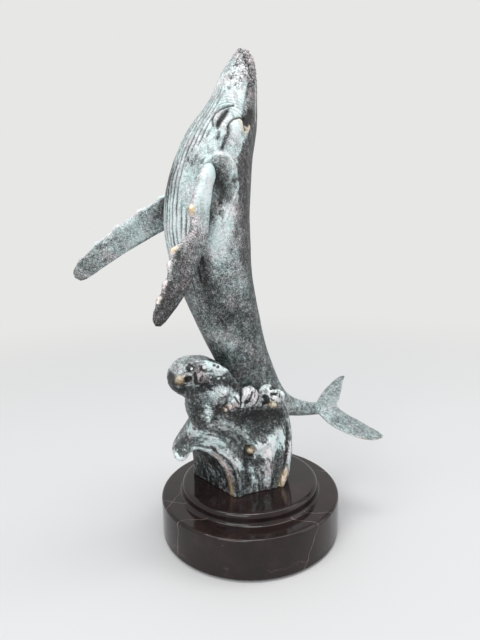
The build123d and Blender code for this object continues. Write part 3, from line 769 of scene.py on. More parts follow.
def flipper(hand, side, middle_shares, blade_shares, knobs, lead_direction, levels):
    """A flipper with knobs along its leading edge."""
    rows, columns = ((420, 200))
    places = flipper_places(middle_shares, side)
    ts = arc_lengths(places)
    share = 1 - (1 - np.linspace(0.0, 1.0, rows)) ** 1.3
    centre = smooth(ts, places, share * ts[-1])
    along = unit(np.gradient(centre, axis=0))
    lead = np.array(lead_direction)
    lead = unit(lead - along * (along @ lead)[:, None])
    flat = np.cross(along, lead)
    ahead, behind, thickness = (blade_sizes(share, blade_shares, 6) * flipper_chord).T
    bumps = sum(height * bell(share - place, 0.026) for place, height, _ in knobs)
    ahead = ahead + 0.2 * bumps
    share, reach, bumps = share[:, None], ahead[:, None], bumps[:, None]
    angle = np.linspace(0, 2 * pi, columns, endpoint=False)
    edge = np.clip(np.cos(angle), 0, 1) ** 3
    x = ((ahead - behind) / 2)[:, None] + ((ahead + behind) / 2)[:, None] * np.cos(angle) + bumps * edge
    ridge = 0.5 * bell(np.cos(angle) - 0.55, 0.25) * band(share, (0.1, 0.3), (0.8, 1.0))
    y = blade_section(thickness, angle) + np.sign(np.sin(angle)) * ridge + 0.7 * bumps * edge * np.sin(angle)
    points = centre[:, None] + lead[:, None] * x[..., None] + flat[:, None] * y[..., None]
    points, rough = roughen(points, 9.0, 0.14, 31.0, 12.0)

    blade, leading, trailing, warmth = [np.interp(share, level_stations, row) for row in levels]
    rim = fade(np.cos(angle), 0.72, 0.98)
    pale = toward(blade + 0.06 * rough, leading, rim)
    pale = toward(pale, trailing, fade(-np.cos(angle), 0.75, 0.98))
    tips = bell(x - reach - 0.5, 1.0) * fade(bumps, 0.35, 0.7)
    pale = toward(pale, 0.88, 0.8 * tips)
    shine = sum(amount * bell(share - place, 0.022) for place, _, amount in knobs)
    gold = tips * np.clip(shine, 0, 1)
    # Painted shadow: a faint dark band just behind each knob
    dark = 0.10 * bell(x - reach + 2.3, 0.9) * fade(bumps, 0.35, 0.8)
    warm = warmth + 0.25 * rough + 0.3 * rim
    contrast = 1.2 - 0.75 * fade(pale, 0.45, 0.85)
    node = hand + "_flipper"
    skin = node + "_skin"
    faces = ring_faces(*x.shape)
    add_skin(skin, node, skin + "_patina", points, faces, pale, dark, gold, warm, contrast)


def flukes():
    """Both flukes, as one blade from tip to tip."""
    rows, columns = ((360, 140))
    first, last = fluke_shares[0][0], fluke_shares[-1][0]
    share = (np.sin(np.linspace(-pi / 2, pi / 2, rows)) + 1) / 2 * (last - first) + first
    ahead, behind, thickness = (blade_sizes(share, fluke_shares, 5) * fluke_depth).T
    share = share[:, None]
    angle = np.linspace(0, 2 * pi, columns, endpoint=False)
    x = ((ahead + behind) / 2)[:, None] - ((behind - ahead) / 2)[:, None] * np.cos(angle)
    y = blade_section(thickness, angle) + fluke_rise * share**2
    root = spine_places(body_shares[:1])[0]
    points = root + fluke_aft * x[..., None] + fluke_side * (share * fluke_span / 2)[..., None]
    points = points + np.cross(fluke_aft, fluke_side) * y[..., None]
    points, rough = roughen(points, 8.0, 0.12, 41.0, 17.0)
    rim = fade(np.abs(np.cos(angle)), 0.86, 1.0)
    away = np.abs(share)
    pale = 0.53 + 0.10 * rough + 0.14 * rim + 0.06 * bell(away - 0.15, 0.2)
    gold = 0.5 * rim * bell(away - 0.97, 0.04)
    dark = 0 * x
    warm = 0.15 + 0.3 * rough
    contrast = 0.8 + 0 * x
    faces = ring_faces(*x.shape)
    add_skin("flukes_skin", "tail_flukes", "flukes_patina", points, faces, pale, dark, gold, warm, contrast)


# Wave

# Outline in the whale's own plane: x as a share of wave_reach and height of wave_height
wave_back_shares = [
    (0.420, 0.000), (0.475, 0.110), (0.500, 0.220), (0.500, 0.330), (0.470, 0.440),
    (0.420, 0.550), (0.330, 0.640), (0.200, 0.690), (0.050, 0.700), (-0.100, 0.700),
    (-0.220, 0.770), (-0.360, 0.885), (-0.500, 0.960), (-0.640, 0.990), (-0.800, 0.985),
    (-0.920, 0.955), (-0.985, 0.900), (-0.995, 0.845), (-0.955, 0.800), (-0.875, 0.770),
    (-0.830, 0.715), (-0.830, 0.640), (-0.790, 0.555), (-0.865, 0.480), (-0.960, 0.410),
    (-1.000, 0.370), (-0.955, 0.335), (-0.875, 0.350),
]
near_barrel_shares = [
    (-0.800, 0.395), (-0.690, 0.385), (-0.550, 0.333),
    (-0.445, 0.250), (-0.365, 0.140), (-0.345, 0.000),
]
far_barrel_shares = [
    (-0.628, 0.270), (-0.626, 0.220), (-0.625, 0.170),
    (-0.624, 0.110), (-0.623, 0.050), (-0.622, 0.000),
]
# How the outline draws in from the near face to the far one: lip, crest and flank
lip_draw_share = 0.07
crest_draw_share = 0.025
flank_station = 0.1
flank_full_share = 1.07
flank_draw_share = 0.30
stations = np.linspace(-1, 1, 7)
face_rounding = 3.2

# Relief of the near face as (x, z) lines, with a width and a height each
streams = [
    ([(-26, 87), (-15, 79), (-7, 69.5), (-3, 62.5)], 2.6, 1.8),
    ([(-45, 82.5), (-39, 79), (-30, 73.5), (-24, 65), (-20, 55), (-16.5, 44), (-16, 34)], 2.8, 1.5),
    ([(3, 78), (8.5, 68.5), (5, 54), (4.5, 34)], 2.2, 1.3),
    ([(11, 76), (13.5, 66), (12, 50), (8.5, 34)], 2.0, 1.2),
    ([(19, 80), (20, 68.5), (20.5, 58), (18, 43), (13.5, 33)], 1.6, 1.5),
    ([(-2, 63), (4, 64.5)], 3.0, 1.2),
    ([(-37.5, 97), (-34.5, 92), (-31.5, 88.5)], 2.6, 1.5),
    ([(-35, 116.5), (-28.5, 116), (-23, 112)], 3.6, 1.5),
    ([(-15.5, 54), (-14, 51)], 1.8, 0.9),
    ([(-7.5, 51), (-6, 43)], 1.7, 0.9),
    ([(-12, 44), (-11, 38)], 1.6, 0.7),
]
foot_rim = [(-45, 70.5), (-39, 68), (-30, 64), (-24.3, 59), (-20.6, 50.5), (-18.8, 42.5), (-18.6, 33)]
lip_rim = [
    (-44.4, 83), (-51, 76.4), (-53.6, 71.6), (-53.8, 67.5),
    (-52, 64.6), (-48, 64), (-43.8, 67.2), (-41, 69.4),
]
rims = [(foot_rim, 1.0, 1.3), (lip_rim, 1.0, 1.0)]
furrows = [
    ([(-35, 84), (-29, 83), (-20, 76.5), (-13.5, 70), (-10.5, 63), (-10, 50), (-10, 38)], 1.3, 1.2),
    ([(-44, 75), (-37, 71.5), (-28.5, 67.5), (-23, 61.5)], 1.0, 0.9),
    ([(9, 74), (11.5, 62), (9, 48), (6.5, 34)], 0.9, 1.0),
    ([(15, 76), (17.5, 62), (15.5, 48), (11.5, 34)], 0.9, 1.0),
    ([(-54, 106), (-50, 103.5), (-44, 105.5), (-37, 104.8), (-30, 102)], 2.2, 2.4),
    ([(-42, 102), (-42.5, 94), (-41, 87)], 1.0, 0.7),
    ([(-46.5, 101), (-47, 94), (-46, 88)], 0.9, 0.6),
    ([(-38.5, 101), (-39, 96), (-38, 91)], 0.9, 0.6),
    ([(-45, 78), (-48.5, 74.5), (-50.5, 71)], 1.9, 2.2),
    ([(-8, 86), (0, 85), (8, 83)], 3.0, 2.0),
    ([(-45, 111.5), (-43.5, 110)], 1.9, 1.7),
]
far_face_shift = 2.7
# Lumps of foam and bubbles: centre, radii and how softly each joins. A bubble's last
# number is how much gold shows on it.
crest_lump = ((-41, -9, 109.5), (12.5, 11, 11.5), 3.0)
foam = [
    ((-25, -15, 99), (6.5, 7, 5.5), 2.0),
    ((-16.5, -16, 94), (5.0, 6, 5.0), 1.5),
    ((-6.5, -17.5, 94.5), (5.2, 6.5, 6.4), 0.8),
    ((5.5, -17.5, 94), (6.4, 6.8, 6.2), 0.8),
    ((14, -13, 90), (4.5, 5.0, 4.4), 1.5),
    ((-33, 9, 103.5), (9, 9, 8.5), 3.0),
    ((-20, 13, 97.5), (7, 7, 6), 2.0),
    ((-9, 15.5, 92), (6.5, 6, 5.4), 1.5),
    ((3, 15.5, 90), (6, 6, 5.4), 1.5),
    ((13, 13, 87), (5, 5, 4.6), 1.5),
]
bubbles = [
    ((-36.2, -20.5, 111.2), (4.4, 2.6, 3.0), 0.8, 0.0),
    ((-35.6, -20.6, 117.4), (1.7, 1.7, 1.7), 0.4, 0.0),
    ((-43.2, -21.0, 117.3), (1.6, 1.6, 1.6), 0.2, 0.0),
    ((-49.4, -20.4, 111.6), (2.0, 2.0, 1.9), 0.4, 1.0),
    ((-37.2, -20.4, 87.7), (1.5, 1.5, 1.5), 0.4, 0.0),
    ((-34, -20.8, 86), (1.8, 1.8, 1.8), 0.4, 0.0),
    ((-20.7, -21.5, 91.6), (1.6, 1.6, 1.6), 0.4, 0.4),
    ((-23.6, -21.0, 90.4), (1.3, 1.3, 1.3), 0.4, 0.35),
    ((6.2, -22.6, 88.6), (2.6, 2.0, 2.2), 0.5, 0.9),
    ((11.4, -18.5, 93), (1.8, 1.8, 1.8), 0.4, 0.0),
]
# Hollows in the crest and under the foam of either face, in the same way
crest_hollow = ((-43.8, -20, 111.4), (2.3, 1.9, 3.6), 1.2)
near_hollow = ((-1, -21, 80), (11, 5.5, 7.5), 3.5)
far_hollow = ((3, 22, 79), (12, 5.5, 8), 4.0)
# A bead in a round recess of the near face, as (x, z)
bead_place = (-7.8, 61.6)
bead_radii = (2.4, 2.2, 2.4)
bead_sink = 0.6
recess_radius = 3.7
recess_depth = 1.2
# Middle of the barrel, and the radius at which streaks run round it
barrel_place = (-45.0, 38.0)
run_radius = 34


def outline_distance(outline, x, z):
    """Distance to a closed outline, below zero within it."""
    places = np.stack([x, z], -1)
    best = np.full(x.shape, np.inf)
    inside = np.zeros(x.shape, bool)
    for a, b in zip(outline, np.roll(outline, -1, 0)):
        best = np.minimum(best, to_run(places, a, b))
        run, rise = b - a
        if abs(rise) > 1e-9:
            inside ^= ((a[1] > z) != (b[1] > z)) & (x < a[0] + run * (z - a[1]) / rise)
    return np.where(inside, -1, 1) * best


def wave_outline(station):
    """The outline at a station from -1, the near face, to 1, the far one."""
    back = np.array(wave_back_shares)
    draw = (station + 1) ** 2
    flank = flank_full_share - flank_draw_share * (station - flank_station) ** 2
    factor = np.where(back[:, 0] < 0, 1 - lip_draw_share * draw, flank)
    back = np.column_stack([back[:, 0] * factor, back[:, 1] * (1 - crest_draw_share * draw)])
    far = (1 + station) / 2
    barrel = np.array(near_barrel_shares) * (1 - far) + np.array(far_barrel_shares) * far
    curves = []
    for line, count in ((back, 110), (np.vstack([back[-1], barrel]), 40)):
        ts = arc_lengths(line)
        curves.append(smooth(ts, line, np.linspace(0, ts[-1], count)))
    shape = np.vstack([curves[0], curves[1][1:]])
    shape = np.vstack([shape, (shape[-1][0], -0.1), (shape[0][0], -0.1)])
    return shape * (wave_reach, wave_height) + (0, base_top)


def relief(x, z, lines):
    """How high lines of relief stand at places of a face."""
    places = np.stack([x, z], -1)
    total = np.zeros_like(x)
    for line, width, height in lines:
        total = np.maximum(total, height * bell(to_line(places, line), width))
    return total


def soft_join(a, b, softness):
    """The union of two distances, with a fillet."""
    part = np.clip(0.5 + 0.5 * (b - a) / softness, 0, 1)
    return b * (1 - part) + a * part - softness * part * (1 - part)


def wave_field(low, high, step):
    """Distance to the wave on a grid, below zero within it."""
    axes = [np.arange(a, b, step) for a, b in zip(low, high)]
    x, z = np.meshgrid(axes[0], axes[2], indexing="ij")
    shapes = [outline_distance(wave_outline(station), x, z) for station in stations]
    near = half_thickness + relief(x, z, streams) + relief(x, z, rims) - relief(x, z, furrows)
    far_x = x - far_face_shift
    far = half_thickness + 0.8 * (relief(far_x, z, streams) - 0.7 * relief(far_x, z, furrows))
    slices = []
    for y in axes[1]:
        place = np.clip((y / half_thickness + 1) / 2, 0, 1) * (len(stations) - 1)
        k = min(int(place), len(stations) - 2)
        edge = shapes[k] * (k + 1 - place) + shapes[k + 1] * (place - k) + face_rounding
        face = (-y - near if y < 0 else y - far) + face_rounding
        outside = np.hypot(np.maximum(edge, 0), np.maximum(face, 0))
        slices.append(np.minimum(np.maximum(edge, face), 0) + outside - face_rounding)
    field = np.stack(slices, 1).astype(np.float32)

    def ball(centre, radii):
        """Rough distance to an ellipsoid, over the whole grid."""
        across, deep, up = [((axis - c) / r) ** 2 for axis, c, r in zip(axes, centre, radii)]
        size = np.sqrt(across[:, None, None] + deep[None, :, None] + up[None, None, :])
        return ((size - 1) * min(radii)).astype(np.float32)

    for centre, radii, softness, *_ in [crest_lump, *foam, *bubbles]:
        field = soft_join(field, ball(centre, radii), softness)
    for centre, radii, softness in (crest_hollow, near_hollow, far_hollow):
        field = -soft_join(-field, ball(centre, radii), softness)
    y = axes[1][None, :, None]
    bead_x, bead_z = bead_place
    ring = np.hypot(x - bead_x, z - bead_z)[:, None, :] - recess_radius
    field = np.maximum(field, -np.maximum(ring, y + half_thickness - recess_depth))
    field = np.minimum(field, ball((bead_x, bead_sink - half_thickness, bead_z), bead_radii))
    return np.maximum(field, base_top - axes[2]).astype(np.float32)


def grid_pairs(grid, axis, rest=slice(None)):
    """A grid's values before and after each step along an axis."""
    before, after = [rest] * 3, [rest] * 3
    before[axis], after[axis] = slice(None, -1), slice(1, None)
    return grid[tuple(before)], grid[tuple(after)]


def surface_net(field, low, step):
    """A mesh of quads on the zero level of a field on a grid."""
    least = most = field
    for axis in range(3):
        least = np.minimum(*grid_pairs(least, axis))
        most = np.maximum(*grid_pairs(most, axis))
    boxes = np.argwhere((least < 0) & (most >= 0))
    corners = np.array([[i, j, k] for i in (0, 1) for j in (0, 1) for k in (0, 1)])
    spots = boxes[:, None] + corners
    values = field[spots[..., 0], spots[..., 1], spots[..., 2]]
    total = np.zeros((len(boxes), 3))
    count = np.zeros(len(boxes))
    for a, b in [(a, a | bit) for a in range(8) for bit in (1, 2, 4) if not a & bit]:
        cross = (values[:, a] < 0) != (values[:, b] < 0)
        part = values[:, a] / np.where(cross, values[:, a] - values[:, b], 1)
        spot = corners[a] + (corners[b] - corners[a]) * part[:, None]
        total += spot * cross[:, None]
        count += cross
    points = np.array(low) + (boxes + total / count[:, None]) * step
    number = np.full(least.shape, -1)
    number[tuple(boxes.T)] = np.arange(len(boxes))
    inside = field < 0
    faces = []
    for axis in range(3):
        u, v = (axis + 1) % 3, (axis + 2) % 3
        before, after = grid_pairs(inside, axis, slice(1, -1))
        edges = np.argwhere(before != after)
        enters = after[tuple(edges.T)]
        edges[:, u] += 1
        edges[:, v] += 1
        quad = []
        for du, dv in ((1, 1), (0, 1), (0, 0), (1, 0)):
            box = edges.copy()
            box[:, u] -= du
            box[:, v] -= dv
            quad.append(number[tuple(box.T)])
        quad = np.stack(quad, 1)
        quad[enters] = quad[enters, ::-1]
        faces.append(quad)
    return points, np.vstack(faces).tolist()


def mesh_normals(points, faces):
    mesh = bpy.data.meshes.new("net")
    mesh.from_pydata(points.tolist(), [], faces)
    normals = np.zeros(len(points) * 3)
    mesh.vertices.foreach_get("normal", normals)
    bpy.data.meshes.remove(mesh)
    return normals.reshape(-1, 3)


# Light and dark areas of the near face as (x, z) lines, with a width and a level each
crest_line = [(-53.3, 114.3), (-52.3, 118.2), (-49.6, 121.1), (-46.1, 122.4), (-42, 123.4), (-33.1, 124.1)]
wave_tones = [
    (crest_line, 3.4, 0.48),
    ([(-32.4, 117.2), (-29, 115.6), (-25.8, 114.8), (-22.1, 114.9)], 3.0, 0.95),
    ([(-30, 113.4), (-26.5, 112.4)], 2.2, 0.88),
    ([(-22, 110.5), (-16, 107.5), (-11, 104)], 2.6, 0.36),
    ([(-25.9, 101.4), (-22, 98), (-18, 94)], 6.0, 0.76),
    ([(-31, 108.9), (-26, 107.4), (-19.8, 105.6), (-14, 101)], 2.5, 0.14),
    ([(-49.5, 113.5), (-47.5, 117)], 1.8, 0.62),
    ([(-39.4, 114.3), (-37, 111.1), (-34.1, 108.5)], 3.0, 0.44),
    ([(-36, 107), (-31, 104)], 1.8, 0.10),
    # Painted shadow under the crest's overhang, along its carved furrow
    ([(-54, 107.5), (-51, 104.8), (-44.6, 103.4), (-37, 103.4)], 2.6, 0.02),
    ([(-34.9, 92.8), (-33.2, 89.5), (-34.5, 86.7)], 3.0, 0.86),
    ([(-44, 102), (-40.1, 95.4), (-41, 87.8), (-38.9, 81.4)], 4.4, 0.16),
    ([(-27.7, 89.2), (-19.1, 84.7), (-7.6, 82.8), (4.2, 79.9), (12.3, 79)], 4.6, 0.05),
    ([(-26, 83.4), (-20.5, 80.2), (-12.3, 73.1), (-6.7, 65.4)], 2.3, 0.66),
    ([(-44, 80), (-36.1, 75.8), (-29, 71)], 3.4, 0.76),
    ([(-33.7, 73.7), (-26.4, 69.2), (-21.8, 61.3), (-18.5, 53.6)], 2.6, 0.76),
    ([(-32, 79), (-22, 74), (-15.5, 66), (-12.6, 59.5)], 1.5, 0.16),
    ([(-37, 70.5), (-30.5, 67), (-25.5, 61.5)], 2.6, 0.84),
    ([(-40, 70.6), (-32, 67.8), (-24.5, 60), (-20, 53.4), (-18, 46.1), (-17, 36.1)], 1.1, 0.16),
    ([(-43.4, 70), (-33.9, 66), (-27, 59.4), (-22.6, 53), (-20.6, 46.1)], 1.5, 0.78),
    ([(-20.6, 46.1), (-19.4, 36.1)], 1.2, 0.5),
    ([(-51.3, 69.5), (-49, 73.5), (-46.8, 75.5)], 2.3, 0.06),
    ([(-43.6, 82.8), (-50.8, 78.1), (-54.3, 70.3), (-52.5, 64.5), (-48.4, 64.3), (-42.9, 68.1)], 1.8, 0.82),
    ([(-3.5, 60.2), (1.4, 60.8), (6.5, 61.5)], 5.2, 1.0),
    ([(5.5, 66), (9.5, 70), (13, 65), (7, 61)], 4.8, 0.98),
    ([(4.4, 61.4), (4.0, 55.1), (3.4, 44.2), (2.5, 37)], 2.8, 0.70),
    ([(-1.5, 62), (4.5, 57), (9.5, 59)], 4.6, 1.0),
    ([(21, 60), (20.3, 54), (18.2, 45.6), (14.4, 36)], 2.8, 0.88),
    ([(11.6, 56), (10.7, 50), (10, 44), (7.6, 37)], 2.6, 0.30),
    ([(-8.8, 58), (-12.2, 49.8), (-11, 40)], 3.4, 0.24),
    ([(17, 56), (15.4, 46.5), (11.6, 36.4)], 0.9, 0.14),
    ([(21.4, 70), (22.5, 59)], 1.8, 0.72),
    ([(17.5, 74), (17.6, 64)], 1.2, 0.12),
    ([(-16.8, 56.5), (-15.3, 52.9), (-13.4, 49.9)], 1.8, 0.84),
    ([(-8.8, 52.8), (-6.8, 48.5)], 2.0, 0.74),
    ([(-6.4, 44), (-4.9, 40.6)], 1.6, 0.84),
    ([(-12.6, 59.5), (-9.4, 52.3), (-0.6, 52.3)], 2.4, 0.15),
    ([(0.2, 76.4), (5.5, 73.2), (-3.8, 73.9)], 5.0, 0.16),
]
# Crisp strokes over them, in the same way
wave_marks = [
    ([(-53.7, 113.8), (-53.7, 109.1), (-52.7, 104.9), (-49.3, 102)], 1.8, 0.04),
    ([(-30.8, 121), (-27.2, 119.4), (-23.6, 116.5), (-19, 113.6)], 1.3, 0.14),
    ([(-44.9, 117.5), (-43.3, 119.2), (-41.7, 117.5), (-43.3, 115.8), (-44.9, 117.5)], 1.0, 0.02),
    # Painted highlight: the white glint in the middle of the bubble ringed above
    ([(-43.3, 117.6), (-43.2, 117.7)], 0.9, 1.0),
    ([(-35.6, 117.4), (-35.5, 117.4)], 1.4, 1.0),
    ([(-37.6, 116.2), (-35, 115.4)], 0.7, 0.2),
    ([(-29.8, 117.6), (-29.2, 117.6)], 0.9, 0.2),
    ([(-27.6, 116.3), (-26.8, 116.6)], 0.8, 0.2),
    ([(-47.6, 112.7), (-46, 114), (-44.2, 114.3), (-42.7, 113.1)], 0.8, 0.80),
    ([(-46.6, 111), (-43.6, 111)], 1.7, 0.02),
    ([(-51.4, 109.5), (-47.2, 108.2)], 1.0, 0.02),
    ([(-40.8, 114.4), (-40.6, 108.4), (-36.5, 106.4), (-33, 107.2)], 0.9, 0.02),
    ([(-38.6, 110.6), (-37.2, 112.6)], 0.9, 0.12),
    ([(-31.9, 110.8), (-31.7, 110.8)], 0.8, 0.9),
    ([(-27.1, 109.3), (-26.8, 109.3)], 0.8, 0.9),
    ([(-24.1, 109.2), (-23.4, 109.4)], 0.7, 0.8),
    ([(-12.2, 101.8), (-13.2, 98.3), (-13.6, 94.7), (-12.8, 89.6)], 1.1, 0.04),
    ([(-7.0, 98.9), (-8.9, 95.5), (-10.6, 91.5)], 0.7, 0.16),
    ([(-4.1, 99.7), (-6.0, 96.3)], 0.6, 0.20),
    ([(-10.2, 93.9), (-11.6, 90.4)], 0.7, 0.12),
    ([(-1.4, 99.0), (-2.4, 94.2), (-5.4, 89.7)], 1.4, 0.02),
    ([(1.4, 94.6), (2.4, 91.9), (2.0, 89.5)], 1.9, 0.02),
    ([(5.3, 98.9), (8.0, 99.2), (10.7, 97.8)], 0.8, 0.04),
    ([(5.0, 96.4), (7.7, 95.8), (10.4, 96.4)], 0.7, 0.04),
    ([(12.0, 95.5), (11.7, 92.4)], 0.7, 0.06),
    ([(4.6, 93.6), (6.0, 92.6)], 0.8, 0.14),
    ([(-0.9, 90.6), (0.0, 88.8)], 0.7, 0.85),
    ([(5.8, 94.2), (9.2, 92.4), (11.2, 90.2)], 1.6, 1.0),
    ([(6.2, 97.6), (9.5, 97.1)], 0.8, 0.95),
    ([(-8.9, 100.4), (-10.8, 97), (-12.2, 93.6)], 1.0, 0.84),
    ([(-4.4, 97.9), (-6.1, 93.8)], 0.8, 0.78),
    ([(-20.7, 91.6), (-20.6, 91.7)], 1.4, 0.80),
    ([(-23.7, 90.3), (-23.6, 90.4)], 1.1, 0.70),
    ([(-11.9, 91.7), (-12.5, 89.9)], 1.0, 0.9),
    ([(13.7, 92.1), (13.7, 92.4)], 1.0, 1.0),
    ([(-17.5, 97), (-15.2, 92.6)], 0.6, 0.16),
    ([(-24, 93.2), (-21.6, 94.4)], 0.6, 0.22),
]
# Where the tint turns from blue-green to rose or tan, as (x, z) lines, width and share
warm_lines = [
    ([(18, 60), (14, 34)], 3.0, 0.4),
    ([(4, 62), (3, 36)], 5.0, 0.4),
    ([(-31, 64), (-26.2, 58.8), (-22, 51), (-20.2, 43), (-19, 34)], 1.4, 0.8),
    ([(-39, 114), (-34, 108.5)], 3.6, 0.8),
    ([(-24, 90.2), (-15, 92)], 2.6, 0.7),
    ([(-12, 98), (-4, 95)], 4.0, 0.4),
    ([(-46, 113), (-47, 110)], 3.0, 0.4),
]
# Golden edge of the near foot beside the barrel, and a golden patch low on the tail side
foot_edge = [(-31, 64), (-26.4, 58.6), (-22, 51), (-20.2, 43), (-19.2, 33)]
foot_patch = [(16, 42), (13.2, 36), (11.8, 32)]


def flow_noise(points):
    """Fine noise drawn out along the water's run round the barrel."""
    x, y, z = points.T
    away = np.hypot(x - barrel_place[0], z - barrel_place[1])
    run = run_radius * np.arctan2(z - barrel_place[1], x - barrel_place[0])
    return grain(np.stack([away, run / 5, y / 1.5], -1), 1.7, 66.0)


def wave():
    """The wave's skin: foam, streams, bubbles and a bead, with light and dark areas."""
    low, high = (-58.0, -27.0, base_top - 1.0), (34.0, 26.0, 126.0)
    step = 0.45
    points, faces = surface_net(wave_field(low, high, step), low, step)
    normals = mesh_normals(points, faces)
    x, y, z = points.T
    flat = points[:, [0, 2]]
    to_barrel = np.hypot(x - barrel_place[0], z - barrel_place[1])
    to_bead = np.hypot(x - bead_place[0], z - bead_place[1])
    near = fade(-y, 6, 13)
    rough = grain(points, 9.0, 51.0)
    small = grain(points, 1.8, 61.0, 3)
    streak = flow_noise(points)
    foamy = np.max([bell(in_radii(points, centre, radii), 1.25) for centre, radii, _ in foam], axis=0)
    crest = bell(in_radii(points, *crest_lump[:2]), 1.3)
    near_spot, lag = cells(points * (1, 1, 0.55) + 0.8 * small[:, None], 4.6, 71.0)
    crevice = (1 - fade(lag, 0.02, 0.17)) * np.clip(1.2 * foamy, 0, 1) * fade(rough + small, -0.6, 0.1)

    # Light and dark areas, which also stand out and sink in
    pale = 0.34 + 0.12 * rough + 0.30 * fade(streak, 0.10, 0.40) * (1 - foamy) + 0.10 * crest
    pale = toward(pale, 1.0, fade(foamy, 0.1, 0.8))
    raised = np.zeros(len(points))
    for line, width, level in wave_tones:
        shape = bell(to_line(flat, line), width) * near
        shape = fade(shape + 0.55 * streak + 0.35 * small, 0.22, 0.95) * fade(shape, 0.02, 0.2)
        pale = toward(pale, level, shape)
        raised = toward(raised, level - 0.45, shape)
    for line, width, level in wave_marks:
        shape = fade(bell(to_line(flat, line), width) + 0.12 * small, 0.35, 0.65) * near
        pale = toward(pale, level, shape)
        raised = toward(raised, 0.9 * level - 0.5, shape)
    # Painted light: surfaces that face up are made paler
    pale += 0.14 * fade(normals[:, 2], 0.2, 0.8) * fade(z, 60, 80)
    pale -= 0.26 * (1 - fade(to_barrel, 26.5, 28)) * (1 - near * fade(to_barrel, 24, 26.5))
    dark = np.maximum(0.68 * crevice, 0.2 * bell(in_radii(points, *near_hollow[:2]), 1.0))
    dark = np.maximum(dark, 0.6 * bell(to_bead - 3.1, 0.8) * near)

    lift = 0.8 * raised + 0.30 * streak * (1 - foamy) + 0.12 * small + 0.25 * rough
    lift = (lift - 1.1 * crevice + 0.6 * foamy * (0.5 - near_spot)) * fade(z, base_top, base_top + 2)
    skin = points + normals * lift[:, None]

    gold = (0.30 + 0.5 * (1 - fade(z, 36, 46))) * bell(to_line(flat, foot_edge), 0.55) * near
    for centre, radii, _, share in bubbles:
        gold = np.maximum(gold, share * bell(in_radii(skin, centre, radii), 1.1))
    gold = np.maximum(gold, 0.8 * bell(to_bead, 1.8) * near)
    gold = np.maximum(gold, 0.55 * bell(to_line(flat, foot_patch), 2.2) * near)
    pale = toward(pale, 0.85, fade(gold, 0.3, 0.9))
    warm = 0.2 + 0.3 * rough + 0.25 * foamy
    for line, width, share in warm_lines:
        warm += share * bell(to_line(flat, line), width) * near
    contrast = 1.0 + 0.45 * crest - 0.35 * fade(pale, 0.5, 0.85)
    add_skin("wave_skin", "wave", "wave_patina", skin, faces, pale, dark, gold, warm, contrast)


whale()
flipper("left", -1, left_flipper_shares, left_blade_shares, left_knobs, left_lead_direction, left_levels)
flipper("right", 1, right_flipper_shares, right_blade_shares, right_knobs, right_lead_direction, right_levels)
flukes()
wave()

steel = metal("steel_look", (0.36, 0.36, 0.37), (0.56, 0.56, 0.57), 0.28)
bronze = metal("pin_look", (0.40, 0.26, 0.11), (0.58, 0.40, 0.18), 0.32)
looks = {
    "marble_base": marble(),
    "felt_pad": felt(),
    "mounting_studs": steel,
    "stud_washers": steel,
    "stud_nuts": steel,
    "whale_pin": bronze,
}
for node, look in looks.items():
    mesh = frame["nodes"][node].data
    mesh.materials.clear()
    mesh.materials.append(look)


# Floor, light and camera

background = (0.80, 0.80, 0.79, 1)
# Distances from the middle between which the floor turns into the background
floor_fade = (0.16, 0.85)
# Name, place, target, width, depth and power of each lamp
lamps = [
    ("key", (-0.9, -0.9, 1.1), (0, 0, 0.15), 0.9, 0.9, 10),
    ("fill", (1.1, -0.7, 0.6), (0, 0, 0.12), 0.9, 0.9, 3),
    ("overhead", (0, -0.1, 1.25), (0, 0, 0.05), 2.2, 0.30, 8),
    ("spark", (-0.05, -0.2, 1.2), (0, 0, 0.05), 0.30, 0.30, 1.8),
]


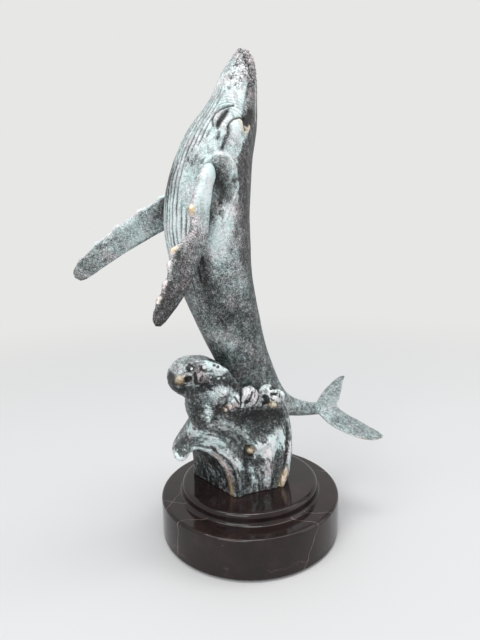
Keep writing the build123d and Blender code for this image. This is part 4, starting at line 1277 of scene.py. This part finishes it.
def floor():
    """A pale floor that fades into the background away from the object."""
    s = Shader("floor_look")
    s.set("Base Color", (0.62, 0.617, 0.61, 1))
    s.set("Roughness", 0.9)
    s.bump(s.noise(4.0), 0.05, 0.2)
    away = s.add("VectorMath", {"operation": "LENGTH"}, _0=s.place()).outputs["Value"]
    start, end = floor_fade
    smooth_step = {"interpolation_type": "SMOOTHSTEP"}
    share = s.add("MapRange", smooth_step, Value=away, From_Min=start, From_Max=end).outputs[0]
    seen = s.times(share, s.add("LightPath").outputs["Is Camera Ray"])
    glow = s.add("Emission", Color=background)
    mix = s.add("MixShader", _0=seen, _1=s.surface.outputs[0], _2=glow.outputs[0])
    s.put(s.tree.nodes["Material Output"].inputs["Surface"], mix.outputs[0])
    mesh = bpy.data.meshes.new("floor")
    radius = 8
    rim = [(radius * cos(radians(a)), radius * sin(radians(a)), 0) for a in range(0, 360, 5)]
    mesh.from_pydata(rim, [], [list(range(len(rim)))])
    mesh.materials.append(s.material)
    add_object("floor", mesh)


def world():
    """Soft light from all round, and the background where the camera or gloss sees it."""
    studio = bpy.data.worlds.new("studio")
    bpy.context.scene.world = studio
    studio.use_nodes = True
    g = Graph(studio.node_tree)
    sky = g.tree.nodes["Background"]
    g.put(sky.inputs["Color"], (0.93, 0.95, 1.0, 1))
    g.put(sky.inputs["Strength"], 0.66)
    shown = g.add("Background", Color=background)
    rays = g.add("LightPath").outputs
    seen = g.most(g.most(rays["Is Camera Ray"], rays["Is Glossy Ray"]), rays["Is Transmission Ray"])
    mix = g.add("MixShader", _0=seen, _1=sky.outputs[0], _2=shown.outputs[0])
    g.put(g.tree.nodes["World Output"].inputs["Surface"], mix.outputs[0])


def softbox(name, place, target, width, depth, power):
    data = bpy.data.lights.new(name, "AREA")
    data.shape = "RECTANGLE"
    data.size, data.size_y, data.energy = width, depth, power
    lamp = add_object(name, data)
    lamp.location = place
    lamp.rotation_euler = (Vector(target) - Vector(place)).to_track_quat("-Z", "Y").to_euler()


def camera():
    """The photograph's camera: turned, tipped down and rolled a little."""
    turn, tip, roll = radians(22.0), radians(10.48), radians(1.04)
    forward = Vector((sin(turn) * cos(tip), cos(turn) * cos(tip), -sin(tip)))
    right = Vector((cos(turn), -sin(turn), 0))
    down = forward.cross(right)
    right, down = cos(roll) * right + sin(roll) * down, cos(roll) * down - sin(roll) * right
    axes = Matrix((right, -down, -forward)).transposed().to_4x4()
    data = bpy.data.cameras.new("camera")
    data.sensor_fit = "VERTICAL"
    data.sensor_height = 36.0
    data.lens = 27.06
    data.clip_start = 0.01
    view = add_object("camera", data)
    view.matrix_world = Matrix.Translation((-0.1139, -0.2699, 0.1919)) @ axes
    bpy.context.scene.camera = view


floor()
world()
for lamp in lamps:
    softbox(*lamp)
camera()

bpy.context.scene.view_settings.view_transform = "Standard"
